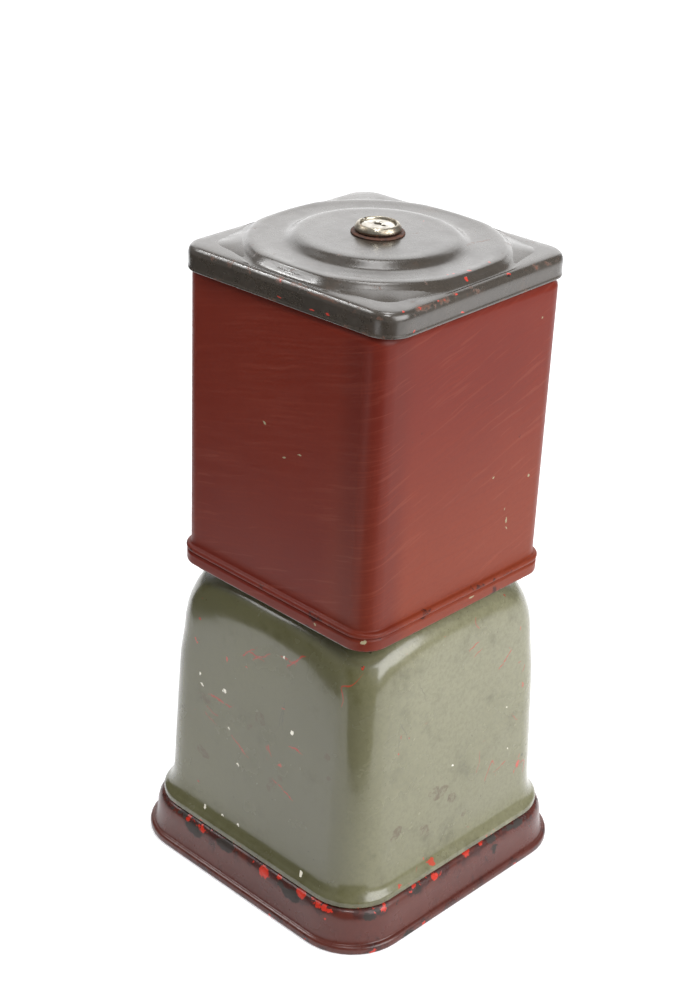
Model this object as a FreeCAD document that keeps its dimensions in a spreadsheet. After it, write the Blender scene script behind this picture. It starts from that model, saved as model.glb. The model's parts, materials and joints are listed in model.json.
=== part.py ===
import FreeCAD, Part
import math
import os
from types import SimpleNamespace

import Sketcher
from FreeCAD import Placement, Rotation, Vector

# Square countertop bulk vending machine: plinth, domed pedestal with the coin and product
# mechanism, lift-off sheet steel canister and keyed lid, all drawn on one centre rod.
# Origin at the centre of the underside of the base plate, +Z up, mechanism side at -Y. Millimetres.

SIZES = {
    # plinth and base plate
    "plinth_half": 95.0, "plinth_corner_at": 60.0, "plinth_top": 25.4, "pressing": 2.0,
    "plate_half": 92.4, "plate_thick": 3.0, "bottom_flange_half": 80.0, "top_flange_half": 66.0,
    # pedestal body
    "foot_half": 87.4, "foot_z": 25.6, "body_corner_at": 58.0, "wall_low_half": 81.5,
    "wall_low_z": 41.0, "wall_high_half": 76.5, "wall_high_z": 150.0, "deck_z": 180.0,
    "deck_radius": 61.0, "dome_radius": 44.0, "deck_hole": 57.4,
    # canister
    "can_half": 71.4, "can_corner_at": 59.0, "can_z": 181.6, "rim_half": 73.8, "rim_top": 191.6,
    "can_sheet": 1.2, "neck_half": 68.6, "neck_z": 354.0, "can_top": 365.4,
    # lid
    "lid_half": 73.6, "lid_corner_at": 59.0, "lid_z": 355.5, "lid_edge_z": 368.4, "lid_twist": 2.5,
    "outer_step_foot": 72.4, "outer_step_crest": 69.4, "outer_step_z": 372.4,
    "inner_step_foot": 46.0, "inner_step_crest": 43.4, "inner_step_z": 376.0, "lid_sheet": 1.2,
    # centre rod and lock
    "rod_radius": 4.0, "rod_low": 8.0, "rod_top": 362.0, "slip": 0.05, "gap": 0.3,
    "barrel_radius": 10.0, "barrel_low": 348.0, "collar_radius": 12.25, "collar_top": 381.4,
    "plug_radius": 9.2, "plug_low": 366.0, "plug_top": 380.7, "washer_radius": 14.3,
    "washer_thick": 1.0, "collar_ring": 2.2, "key_radius": 1.9, "key_half": 0.8, "key_reach": 5.0,
    "lock_nut_flats": 27.0, "lock_nut_height": 5.0,
    # hopper and product wheel
    "cup_radius": 57.0, "cup_wall": 1.5, "cup_floor": 134.0, "cup_floor_thick": 2.0,
    "hopper_flange_half": 71.0, "wheel_radius": 54.9, "wheel_low": 136.4, "wheel_top": 150.0,
    "pocket_radius": 11.5, "pocket_at": 34.0, "pockets": 8, "discharge_radius": 12.0,
    "bushing_radius": 6.5, "crown_inner": 49.0, "crown_root": 139.2,
    "crown_teeth": 64, "crown_gap": 3.2,
    # drive shaft, pinion and ratchet
    "shaft_z": 131.2, "shaft_radius": 6.0, "journal_radius": 4.0, "pinion_teeth": 8,
    "pinion_tip": 7.8, "pinion_root": 4.9, "pinion_front": 54.5, "pinion_back": 49.5,
    "ratchet_teeth": 12, "ratchet_tip": 15.0, "ratchet_root": 12.5, "ratchet_lead": 3.0,
    "ratchet_back": 72.3, "ratchet_thick": 2.5, "pawl_back": 72.4, "pawl_thick": 2.3,
    "pawl_pivot_x": 20.0, "pawl_pivot_drop": 15.2, "carrier_radius": 21.0, "carrier_back": 75.2,
    "coin_width": 19.6, "spring_length": 9.75, "spring_radius": 1.2, "spring_wire": 0.3,
    # coin faceplate and the mechanism frame behind it
    "face_half": 33.0, "face_low": 92.0, "face_high": 164.0, "face_front": 84.0,
    "window_half": 28.0, "window_low": 97.0, "window_high": 159.0, "block_back": 75.5,
    "recess_front": 80.6, "recess_radius": 22.5, "pillar_x": 20.5, "pillar_z": 22.5,
    "pillar_radius": 2.8, "back_plate_front": 62.0, "back_plate_back": 60.0,
    # product chute, its housing and door
    "chute_half": 16.5, "chute_sheet": 1.3, "chute_front": 48.3, "chute_rear": 19.7,
    "chute_top": 133.6, "chute_out": 79.9, "outlet_low": 41.7, "outlet_high": 68.3,
    "housing_half": 23.0, "housing_low": 34.0, "housing_high": 76.0, "housing_front": 90.7,
    "door_half": 18.4, "hinge_y": 93.0, "hinge_z": 72.5, "hinge_pin": 1.2,
    # fasteners
    "screw_radius": 1.5, "head_radius": 2.6,
}

doc = FreeCAD.newDocument("vending_machine")
sheet = doc.addObject("Spreadsheet::Sheet", "Sizes")
for row, (alias, value) in enumerate(SIZES.items(), start=1):
    sheet.set(f"A{row}", alias)
    sheet.set(f"B{row}", str(value))
    sheet.setAlias(f"B{row}", alias)
doc.recompute()


class Size:
    """A dimension: its number together with the spreadsheet expression that drives it."""

    def __init__(self, number, text):
        self.number = number
        self.text = text

    def combine(self, sign, other, number):
        return Size(number, f"({self.text} {sign} {as_size(other).text})")

    def __add__(self, other):
        return self.combine("+", other, self.number + as_size(other).number)

    def __sub__(self, other):
        return self.combine("-", other, self.number - as_size(other).number)

    def __mul__(self, other):
        return self.combine("*", other, self.number * as_size(other).number)

    def __truediv__(self, other):
        return self.combine("/", other, self.number / as_size(other).number)

    def __neg__(self):
        return Size(-self.number, f"(0 - {self.text})")


def as_size(value):
    return value if isinstance(value, Size) else Size(value, f"({value})")


s = SimpleNamespace(**{alias: Size(value, f"Sizes.{alias}") for alias, value in SIZES.items()})
TURN = {"x": Rotation(Vector(0, 1, 0), 90), "y": Rotation(Vector(1, 0, 0), -90), "z": Rotation()}
nodes = []


def node(item, label):
    """Names a finished sub-part and lists it for export."""
    item.Label = label
    nodes.append(item)
    return item


def bind(item, path, value):
    item.setExpression(path, as_size(value).text)


def place(item, at, axis="z"):
    """Puts an object at a bound position, its own Z turned along the given axis."""
    sizes = [as_size(value) for value in at]
    item.Placement = Placement(Vector(*[size.number for size in sizes]), TURN[axis])
    for letter, size in zip("xyz", sizes):
        bind(item, f"Placement.Base.{letter}", size)
    return item


def cylinder(radius, height, at=(0, 0, 0), axis="z"):
    item = doc.addObject("Part::Cylinder", "cylinder")
    bind(item, "Radius", radius)
    bind(item, "Height", height)
    return place(item, at, axis)


def cone(radius_low, radius_high, height, at=(0, 0, 0), axis="z"):
    item = doc.addObject("Part::Cone", "cone")
    bind(item, "Radius1", radius_low)
    bind(item, "Radius2", radius_high)
    bind(item, "Height", height)
    return place(item, at, axis)


def block(low, high):
    """A box from its lowest corner to its highest."""
    item = doc.addObject("Part::Box", "block")
    for name, start, end in zip(("Length", "Width", "Height"), low, high):
        bind(item, name, as_size(end) - start)
    return place(item, low)


def tube(radius, bore, height, at=(0, 0, 0), axis="z"):
    return cut(cylinder(radius, height, at, axis), cylinder(bore, height, at, axis))


def fuse(*items):
    item = doc.addObject("Part::MultiFuse", "fusion")
    item.Shapes = list(items)
    item.Refine = True
    return item


def common(*items):
    item = doc.addObject("Part::MultiCommon", "common")
    item.Shapes = list(items)
    return item


def cut(base, *tools):
    item = doc.addObject("Part::Cut", "cut")
    item.Base = base
    item.Tool = tools[0] if len(tools) == 1 else group(*tools, fused=True)
    return item


def group(*items, fused=False):
    """Separate solids kept in one object, or fused where they are a cutting tool."""
    if fused:
        return fuse(*items)
    item = doc.addObject("Part::Compound", "set")
    item.Links = list(items)
    return item


def body(name):
    return doc.addObject("PartDesign::Body", name)


def sketch_on(owner, plane, offset=0):
    """A sketch on one of the body's origin planes, moved along the plane's normal."""
    item = owner.newObject("Sketcher::SketchObject", "sketch")
    origin_plane = [part for part in owner.Origin.OriginFeatures if part.Role == plane][0]
    item.AttachmentSupport = [(origin_plane, "")]
    item.MapMode = "FlatFace"
    item.AttachmentOffset = Placement(Vector(0, 0, as_size(offset).number), Rotation())
    bind(item, "AttachmentOffset.Base.z", offset)
    return item


def datum(sketch, kind, refs, value):
    """Adds a dimension to a sketch and drives it from the spreadsheet."""
    size = as_size(value)
    index = sketch.addConstraint(Sketcher.Constraint(kind, *refs, size.number))
    bind(sketch, f"Constraints[{index}]", size)


def fix_point(sketch, geometry, end, across=None, up=None):
    if across is not None:
        datum(sketch, "DistanceX", (-1, 1, geometry, end), across)
    if up is not None:
        datum(sketch, "DistanceY", (-1, 1, geometry, end), up)


def polygon(sketch, points):
    """A closed outline whose corners are dimensioned from the sketch's origin."""
    numbers = [Vector(as_size(x).number, as_size(y).number, 0) for x, y in points]
    for start, end in zip(numbers, numbers[1:] + numbers[:1]):
        sketch.addGeometry(Part.LineSegment(start, end))
    for index, (x, y) in enumerate(points):
        fix_point(sketch, index, 1, x, y)
        following = (index + 1) % len(points)
        sketch.addConstraint(Sketcher.Constraint("Coincident", index, 2, following, 1))
    return sketch


def circle(sketch, radius, x=0, y=0):
    centre = Vector(as_size(x).number, as_size(y).number, 0)
    index = sketch.addGeometry(Part.Circle(centre, Vector(0, 0, 1), as_size(radius).number))
    fix_point(sketch, index, 3, x, y)
    datum(sketch, "Radius", (index,), radius)
    return sketch


def rounded_square(sketch, half, corner_at):
    """A square of the given half width whose corner arcs are centred at (corner_at, corner_at)."""
    half, corner_at = as_size(half), as_size(corner_at)
    radius = half - corner_at
    quarter = math.pi / 2
    arcs = []
    for step, (sx, sy) in enumerate(((1, 1), (-1, 1), (-1, -1), (1, -1))):
        centre = Vector(sx * corner_at.number, sy * corner_at.number, 0)
        ring = Part.Circle(centre, Vector(0, 0, 1), radius.number)
        arc = sketch.addGeometry(Part.ArcOfCircle(ring, step * quarter, (step + 1) * quarter))
        x, y = corner_at * sx, corner_at * sy
        fix_point(sketch, arc, 3, x, y)
        datum(sketch, "Radius", (arc,), radius)
        starts_level = step % 2 == 0
        fix_point(sketch, arc, 1, None if starts_level else x, y if starts_level else None)
        fix_point(sketch, arc, 2, x if starts_level else None, None if starts_level else y)
        arcs.append(arc)
    for arc, following in zip(arcs, arcs[1:] + arcs[:1]):
        start = sketch.getPoint(arc, 2)
        end = sketch.getPoint(following, 1)
        line = sketch.addGeometry(Part.LineSegment(start, end))
        sketch.addConstraint(Sketcher.Constraint("Coincident", line, 1, arc, 2))
        sketch.addConstraint(Sketcher.Constraint("Coincident", line, 2, following, 1))
    return sketch


def square_loft(name, corner_at, rings):
    """A solid through rounded squares: rings lists (half width, height)."""
    owner = body(name)
    sections = [rounded_square(sketch_on(owner, "XY_Plane", z), half, corner_at) for half, z in rings]
    loft = owner.newObject("PartDesign::AdditiveLoft", "loft")
    loft.Profile = sections[0]
    loft.Sections = sections[1:]
    loft.Ruled = True
    return owner


def pad(owner, sketch, length, reverse=False):
    item = owner.newObject("PartDesign::Pad", "pad")
    item.Profile = sketch
    item.Reversed = reverse
    bind(item, "Length", length)
    doc.recompute()
    return item


def pocket(owner, sketch, length, reverse=False):
    """Cuts a sketch away, and stops if the cut points away from the solid."""
    before = owner.Shape.Volume
    item = owner.newObject("PartDesign::Pocket", "pocket")
    item.Profile = sketch
    item.Reversed = reverse
    bind(item, "Length", length)
    doc.recompute()
    assert owner.Shape.Volume < before, f"{owner.Name}: the pocket removes nothing"
    return item


def around(owner, feature, count, axis):
    """Repeats a feature evenly round one of the body's axes."""
    item = owner.newObject("PartDesign::PolarPattern", "pattern")
    item.Originals = [feature]
    origin_axis = [part for part in owner.Origin.OriginFeatures if part.Role == axis][0]
    item.Axis = (origin_axis, [""])
    item.Angle = 360
    bind(item, "Occurrences", count)
    owner.Tip = item
    doc.recompute()
    return item


def pan_screw(x, y, z, length, inward=1):
    """A pan head screw along Y; its head's flat side is at y and its shank runs inward."""
    head = cylinder(s.head_radius, 1.8, (x, as_size(y) - (1.8 if inward > 0 else 0), z), "y")
    start = as_size(y) if inward > 0 else as_size(y) - length
    return fuse(head, cylinder(s.screw_radius, length, (x, start, z), "y"))


# ---- outer forms shared by several sub-parts ---------------------------------------------------

def pedestal_form(inset):
    """The pedestal's outside, or its inside for a positive inset: flared square under a dome."""
    below = as_size(1.0 if inset else 0.0)
    rings = [(s.foot_half - inset, s.foot_z - below), (s.foot_half - inset, s.foot_z + 3.9),
             (s.foot_half - 1.2 - inset, s.foot_z + 5.4), (s.foot_half - 3.2 - inset, s.foot_z + 7.4),
             (s.foot_half - 5.0 - inset, s.foot_z + 10.9), (s.wall_low_half - inset, s.wall_low_z),
             (s.wall_high_half - inset, s.wall_high_z), (s.wall_high_half - 1.4 - inset, s.deck_z)]
    walls = square_loft("pedestal_walls", s.body_corner_at - inset * 0.5, rings)
    dome = body("pedestal_dome")
    outline = sketch_on(dome, "XZ_Plane")
    radius = s.dome_radius - inset
    crown = s.deck_z - inset
    side = s.deck_radius + radius
    spring = crown - radius
    for start, end in (((0, 0), (side, 0)), ((side, 0), (side, spring)),
                       ((s.deck_radius, crown), (0, crown)), ((0, crown), (0, 0))):
        numbers = [Vector(as_size(x).number, as_size(y).number, 0) for x, y in (start, end)]
        index = outline.addGeometry(Part.LineSegment(*numbers))
        fix_point(outline, index, 1, *start)
        fix_point(outline, index, 2, *end)
    middle = Vector(s.deck_radius.number, spring.number, 0)
    ring = Part.Circle(middle, Vector(0, 0, 1), radius.number)
    arc = outline.addGeometry(Part.ArcOfCircle(ring, 0, math.pi / 2))
    fix_point(outline, arc, 3, s.deck_radius, spring)
    datum(outline, "Radius", (arc,), radius)
    fix_point(outline, arc, 1, None, spring)
    fix_point(outline, arc, 2, s.deck_radius, None)
    turned = dome.newObject("PartDesign::Revolution", "turned")
    turned.Profile = outline
    turned.ReferenceAxis = (outline, ["V_Axis"])
    turned.Angle = 360
    return common(walls, dome)


# ---- plinth, base plate and centre rod ---------------------------------------------------------

def make_plinth():
    skirt = [(0.8, 0.0), (0.0, 0.9), (0.0, 3.4), (0.8, 4.6), (2.8, 6.0), (4.1, 9.0), (5.0, 15.0),
             (5.4, 19.5), (6.4, 22.5), (8.6, 24.6), (11.0, 25.4)]
    outside = square_loft("plinth_outside", s.plinth_corner_at,
                          [(s.plinth_half - inset, z) for inset, z in skirt])
    inner = [(4.8, 5.0), (6.1, 9.0), (7.0, 15.0), (7.4, 19.5), (8.6, 22.0), (11.0, 23.4)]
    hollow = square_loft("plinth_hollow", s.plinth_corner_at,
                         [(s.plinth_half - inset, z) for inset, z in inner])
    seat = square_loft("plate_seat", s.plinth_corner_at,
                       [(s.plate_half + s.gap, -1.0), (s.plate_half + s.gap, s.plate_thick)])
    mouth = square_loft("plinth_mouth", s.body_corner_at,
                        [(s.bottom_flange_half, 2.0), (s.bottom_flange_half, 6.0)])
    top_mouth = square_loft("plinth_top_mouth", s.body_corner_at - 10.0,
                            [(s.top_flange_half, 20.0), (s.top_flange_half, s.plinth_top + 1)])
    holes = [cylinder(s.screw_radius + s.slip, 10, (x, y, 0)) for x, y in base_screw_places()]
    holes += [cylinder(s.screw_radius + s.slip, 10, (x, y, 18)) for x, y in bracket_places()]
    return node(cut(outside, hollow, seat, mouth, top_mouth, *holes), "plinth")


def base_screw_places():
    return [(sx * 86.0, sy * 40.0) for sx in (-1, 1) for sy in (-1, 1)]


def bracket_places():
    return [(sx * 71.0, sy * 45.0) for sx in (-1, 1) for sy in (-1, 1)]


def make_base_plate():
    owner = body("base_plate_body")
    sketch = rounded_square(sketch_on(owner, "XY_Plane"), s.plate_half, s.plinth_corner_at)
    pad(owner, sketch, s.plate_thick)
    seats = [fuse(cylinder(s.screw_radius + s.slip, s.plate_thick, (x, y, 0)),
                  cone(s.head_radius + s.slip * 2, s.screw_radius + s.slip, 1.4, (x, y, 0)))
             for x, y in base_screw_places()]
    return node(cut(owner, *seats), "base_plate")


def make_base_screws():
    screws = [fuse(cone(s.head_radius, s.screw_radius, 1.3, (x, y, 0.05)),
                   cylinder(s.screw_radius, 8, (x, y, 0.05))) for x, y in base_screw_places()]
    return node(group(*screws), "base_screws")


def make_rod_socket():
    foot = cylinder(20, 3, (0, 0, s.plate_thick))
    boss = cylinder(9, 24, (0, 0, s.plate_thick))
    bore = cylinder(s.rod_radius + s.slip, 30, (0, 0, s.rod_low))
    return node(cut(fuse(foot, boss), bore), "rod_socket")


def make_centre_rod():
    tip = cone(s.rod_radius, s.rod_radius - 1, 1.5, (0, 0, s.rod_top - 1.5))
    shank = cylinder(s.rod_radius, s.rod_top - 1.5 - s.rod_low - s.slip, (0, 0, s.rod_low + s.slip))
    return node(fuse(shank, tip), "centre_rod")


# ---- pedestal ----------------------------------------------------------------------------------

def face_screw_places():
    return [(sx * 30.5, z) for sx in (-1, 1) for z in (94.6, 161.4)]


def chute_screw_places():
    return [(sx * 20.2, z) for sx in (-1, 1) for z in (45.0, 62.0)]


def make_body_shell():
    window = block((-s.window_half, -95, s.window_low), (s.window_half, -70, s.window_high))
    outlet = block((-s.chute_half - 0.7, -95, s.outlet_low - 0.7),
                   (s.chute_half + 0.7, -70, s.outlet_high + 3.2))
    deck_hole = cylinder(s.deck_hole, 20, (0, 0, s.deck_z - 10))
    holes = [cylinder(s.screw_radius + s.slip, 25, (x, -95, z), "y")
             for x, z in face_screw_places() + chute_screw_places()]
    shell = cut(pedestal_form(0), pedestal_form(s.pressing), window, outlet, deck_hole, *holes)
    return node(shell, "body_shell")


def make_brackets():
    brackets = []
    for x, y in bracket_places():
        side = math.copysign(1, x)
        low_x, high_x = sorted((x - side * 5, side * 78.3))
        leg_x = sorted((side * 76.3, side * 78.3))
        foot = block((low_x, y - 9, s.plinth_top), (high_x, y + 9, s.plinth_top + 2))
        leg = block((leg_x[0], y - 9, s.plinth_top), (leg_x[1], y + 9, 58))
        hole = cylinder(s.screw_radius + s.slip, 4, (x, y, s.plinth_top - 1))
        brackets.append(cut(fuse(foot, leg), hole))
    return node(group(*brackets), "corner_brackets")


def make_body_screws():
    screws = []
    for x, y in bracket_places():
        head = cylinder(s.head_radius, 1.8, (x, y, s.plinth_top + 2))
        shank = cylinder(s.screw_radius, 9.5, (x, y, s.plinth_top - 7.5))
        screws.append(fuse(head, shank, hexagon(5.5, 2.4, (x, y, s.plinth_top - 4.4))))
    return node(group(*screws), "body_screws")


def hexagon(flats, height, at):
    item = doc.addObject("Part::Prism", "hexagon")
    item.Polygon = 6
    bind(item, "Circumradius", as_size(flats) / math.sqrt(3))
    bind(item, "Height", height)
    return place(item, at)


# ---- hopper and product wheel ------------------------------------------------------------------

def make_hopper_pan():
    flange = square_loft("hopper_flange", s.can_corner_at - 3,
                         [(s.hopper_flange_half, s.deck_z), (s.hopper_flange_half, s.can_z)])
    cup = cylinder(s.cup_radius, s.can_z - s.cup_floor, (0, 0, s.cup_floor))
    inside = cylinder(s.cup_radius - s.cup_wall, 60, (0, 0, s.cup_floor + s.cup_floor_thick))
    discharge = cylinder(s.discharge_radius, 6, (0, -s.pocket_at, s.cup_floor - 2))
    rod_hole = cylinder(s.rod_radius + s.slip, 6, (0, 0, s.cup_floor - 2))
    pinion_slot = block((-9.2, -s.cup_radius - 1, s.cup_floor - 1), (9.2, -s.crown_inner + 0.4, 139.8))
    return node(cut(fuse(flange, cup), inside, discharge, rod_hole, pinion_slot), "hopper_pan")


def make_wheel_bushing():
    floor_top = s.cup_floor + s.cup_floor_thick
    sleeve = tube(s.bushing_radius, s.rod_radius + s.slip, 15, (0, 0, floor_top))
    return node(sleeve, "wheel_bushing")


def make_product_wheel():
    owner = body("product_wheel_body")
    disc = circle(sketch_on(owner, "XY_Plane", s.wheel_low), s.wheel_radius)
    pad(owner, disc, s.wheel_top - s.wheel_low)
    bore = circle(sketch_on(owner, "XY_Plane", s.wheel_top), s.bushing_radius + s.slip)
    pocket(owner, bore, s.wheel_top - s.wheel_low)
    hole = circle(sketch_on(owner, "XY_Plane", s.wheel_top), s.pocket_radius, 0, -s.pocket_at)
    around(owner, pocket(owner, hole, s.wheel_top - s.wheel_low), s.pockets, "Z_Axis")
    gap = s.crown_gap / 2
    channel = polygon(sketch_on(owner, "XZ_Plane", s.crown_inner),
                      [(-gap - 0.3, s.wheel_low - 1), (gap + 0.3, s.wheel_low - 1),
                       (gap - 0.2, s.crown_root), (-gap + 0.2, s.crown_root)])
    around(owner, pocket(owner, channel, 8, reverse=True), s.crown_teeth, "Z_Axis")
    return node(owner, "product_wheel")


def make_wheel_collar():
    floor_top = s.cup_floor + s.cup_floor_thick
    return node(tube(8, s.rod_radius + s.slip, 6, (0, 0, floor_top + 15)), "wheel_collar")


def make_agitator():
    ring = tube(10.5, 8.3, 8, (0, 0, s.wheel_top))
    arms = [cylinder(1.2, 34, (9.5, 0, s.wheel_top + 6.5), "x"),
            cylinder(1.2, 34, (-43.5, 0, s.wheel_top + 6.5), "x")]
    tips = [cylinder(1.5, 14, (x, 0, s.wheel_top + 4.6)) for x in (-43.5, 43.5)]
    return node(fuse(ring, *arms, *tips), "agitator")


def make_discharge_guard():
    plate = block((-15, -s.wheel_radius, s.wheel_top + 0.8), (15, -20, s.wheel_top + 2.2))
    tab = block((-15, -s.wheel_radius, s.wheel_top + 0.8), (15, -s.wheel_radius + 3, s.wheel_top + 16))
    inside_cup = cylinder(s.cup_radius - s.cup_wall, 40, (0, 0, s.wheel_top))
    return node(common(fuse(plate, tab), inside_cup), "discharge_guard")


# ---- canister, lid and lock --------------------------------------------------------------------

def make_canister():
    outside = square_loft("canister_outside", s.can_corner_at, [
        (s.rim_half - 1.2, s.can_z), (s.rim_half, s.can_z + 1.4), (s.rim_half, s.rim_top - 3.2),
        (s.rim_half - 0.7, s.rim_top - 2.4), (s.rim_half + 0.3, s.rim_top - 1.2),
        (s.rim_half + 0.3, s.rim_top), (s.can_half, s.rim_top + 1.8), (s.can_half, s.neck_z - 1),
        (s.neck_half, s.neck_z + 1), (s.neck_half, s.can_top)])
    inside = square_loft("canister_inside", s.can_corner_at - 1, [
        (s.can_half - s.can_sheet, s.can_z - 1), (s.can_half - s.can_sheet, s.neck_z - 1),
        (s.neck_half - s.can_sheet, s.neck_z + 1), (s.neck_half - s.can_sheet, s.can_top + 1)])
    return node(cut(outside, inside), "canister")


def lid_form(inset):
    """The lid's outside, or its inside for a positive inset: rounded square under two round steps."""
    down = as_size(1.0 if inset else 0.0)
    skirt = square_loft("lid_skirt", s.lid_corner_at - inset * 0.5, [
        (s.lid_half - inset, s.lid_z - down), (s.lid_half - inset, s.lid_z + 8.8),
        (s.lid_half - 1.0 - inset, s.lid_edge_z - 1.6 - inset),
        (s.lid_half - 3.0 - inset, s.lid_edge_z - inset)])
    outer_low = s.lid_edge_z - 3
    outer = cone(s.outer_step_foot + 1.0 - inset, s.outer_step_crest - inset,
                 s.outer_step_z - inset - outer_low, (0, 0, outer_low))
    inner_low = s.outer_step_z - 3
    inner = cone(s.inner_step_foot + 1.0 - inset, s.inner_step_crest - inset,
                 s.inner_step_z - inset - inner_low, (0, 0, inner_low))
    return fuse(skirt, outer, inner)


def make_lid():
    hole = cylinder(s.barrel_radius + s.slip, 12, (0, 0, s.inner_step_z - 8))
    lid = cut(lid_form(0), lid_form(s.lid_sheet), hole)
    lid.Placement = Placement(Vector(), Rotation(Vector(0, 0, 1), s.lid_twist.number))
    bind(lid, "Placement.Rotation.Angle", s.lid_twist)
    return node(lid, "lid")


def make_lock():
    washer = tube(s.washer_radius, s.barrel_radius + s.slip, s.washer_thick, (0, 0, s.inner_step_z))
    node(washer, "lock_washer")
    seat = s.inner_step_z + s.washer_thick
    barrel = cylinder(s.barrel_radius, seat - s.barrel_low, (0, 0, s.barrel_low))
    ring = cylinder(s.collar_radius, s.collar_ring, (0, 0, seat))
    crown = s.collar_top - seat - s.collar_ring
    taper = cone(s.collar_radius, s.plug_radius + 1.4, crown, (0, 0, seat + s.collar_ring))
    plug_bore = cylinder(s.plug_radius + s.slip, 40, (0, 0, s.plug_low - 0.1))
    rod_bore = cylinder(s.rod_radius + s.slip, s.rod_top + 1 - s.barrel_low, (0, 0, s.barrel_low))
    notch = block((-1.2, -s.collar_radius - 1, s.collar_top - 1.2), (1.2, -8, s.collar_top + 1))
    node(cut(fuse(barrel, ring, taper), plug_bore, rod_bore, notch), "lock_collar")
    nut_low = s.inner_step_z - s.lid_sheet - s.lock_nut_height
    nut = hexagon(s.lock_nut_flats, s.lock_nut_height, (0, 0, nut_low))
    nut_bore = cylinder(s.barrel_radius + s.slip, s.lock_nut_height, (0, 0, nut_low))
    node(cut(nut, nut_bore), "lock_nut")
    key_way = fuse(cylinder(s.key_radius, 6, (0, -0.4, s.plug_top - 5)),
                   block((-s.key_half, 0, s.plug_top - 5), (s.key_half, s.key_reach, s.plug_top + 1)))
    plug = cylinder(s.plug_radius, s.plug_top - s.plug_low, (0, 0, s.plug_low))
    node(cut(plug, key_way), "lock_plug")


# ---- coin mechanism ----------------------------------------------------------------------------

def make_coin_faceplate():
    owner = body("faceplate_body")
    outline = polygon(sketch_on(owner, "XZ_Plane", s.wall_high_half - 6), [
        (-s.face_half, s.face_low + 6), (-s.face_half + 6, s.face_low), (s.face_half - 6, s.face_low),
        (s.face_half, s.face_low + 6), (s.face_half, s.face_high - 6),
        (s.face_half - 6, s.face_high), (-s.face_half + 6, s.face_high),
        (-s.face_half, s.face_high - 6)])
    pad(owner, outline, s.face_front - s.wall_high_half + 6)
    plate = cut(owner, pedestal_form(0))
    core = block((-s.window_half + s.gap, -s.recess_front - 1, s.window_low + s.gap),
                 (s.window_half - s.gap, -s.block_back, s.window_high - s.gap))
    recess = cylinder(s.recess_radius, 10, (0, -s.recess_front, s.shaft_z), "y")
    bore = cylinder(s.shaft_radius + s.slip, 20, (0, -95, s.shaft_z), "y")
    coin_slot = block((-s.coin_width / 2 - 0.5, -s.recess_front, s.shaft_z + 12),
                      (s.coin_width / 2 + 0.5, -s.recess_front + 2.4, s.face_high + 1))
    pawl_room = block((-27.0, -s.recess_front + 4.0, 104.5), (-10, -s.block_back + 1, s.shaft_z))
    holes = [cylinder(s.screw_radius + s.slip, 25, (x, -95, z), "y") for x, z in face_screw_places()]
    return node(cut(fuse(plate, core), recess, bore, coin_slot, pawl_room, *holes), "coin_faceplate")


def make_faceplate_screws():
    screws = [pan_screw(x, -s.face_front, z, 14) for x, z in face_screw_places()]
    return node(group(*screws), "faceplate_screws")


def make_handle():
    front = s.face_front
    hub = cylinder(13, 11.6, (0, -front - 12, s.shaft_z), "y")
    grip = block((-20, -front - 20, s.shaft_z - 6), (20, -front - 11, s.shaft_z + 6))
    ends = [cylinder(6, 9, (x, -front - 20, s.shaft_z), "y") for x in (-20, 20)]
    bore = cylinder(s.shaft_radius + 0.02, 11, (0, -front - 11, s.shaft_z), "y")
    return node(cut(fuse(hub, grip, *ends), bore), "coin_handle")


def make_handle_shaft():
    start = s.face_front + 10.9
    thick = cylinder(s.shaft_radius, start - s.back_plate_front - 0.2, (0, -start, s.shaft_z), "y")
    journal = cylinder(s.journal_radius, start - s.pinion_back - 0.3, (0, -start, s.shaft_z), "y")
    groove = tube(s.journal_radius + 1, s.journal_radius - 0.6, 0.8,
                  (0, -s.back_plate_back + 0.9, s.shaft_z), "y")
    return node(cut(fuse(thick, journal), groove), "handle_shaft")


def make_coin_carrier():
    owner = body("coin_carrier_body")
    disc = circle(sketch_on(owner, "XZ_Plane", s.carrier_back), s.carrier_radius)
    pad(owner, disc, 5)
    bore = circle(sketch_on(owner, "XZ_Plane", s.carrier_back), s.shaft_radius + 0.02)
    pocket(owner, bore, 5, reverse=True)
    half = s.coin_width / 2
    coin_room = polygon(sketch_on(owner, "XZ_Plane", s.carrier_back),
                        [(-half, 11.4), (half, 11.4), (half, 23), (-half, 23)])
    pocket(owner, coin_room, 5, reverse=True)
    place(owner, (0, 0, s.shaft_z))
    return node(owner, "coin_carrier")


def make_ratchet_wheel():
    owner = body("ratchet_wheel_body")
    disc = circle(sketch_on(owner, "XZ_Plane", s.ratchet_back), s.ratchet_tip)
    pad(owner, disc, s.ratchet_thick)
    bore = circle(sketch_on(owner, "XZ_Plane", s.ratchet_back), s.shaft_radius + 0.02)
    pocket(owner, bore, s.ratchet_thick, reverse=True)
    reach = s.ratchet_tip + 1.2
    lead = math.radians(SIZES["ratchet_lead"])
    far = lead + 2 * math.pi / SIZES["ratchet_teeth"]
    notch = polygon(sketch_on(owner, "XZ_Plane", s.ratchet_back), [
        (-s.ratchet_root * math.cos(lead), -s.ratchet_root * math.sin(lead)),
        (-reach * math.cos(lead), -reach * math.sin(lead)),
        (-reach * math.cos(far), -reach * math.sin(far))])
    notch = pocket(owner, notch, s.ratchet_thick, reverse=True)
    around(owner, notch, s.ratchet_teeth, "Y_Axis")
    place(owner, (0, 0, s.shaft_z))
    return node(owner, "ratchet_wheel")


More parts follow.
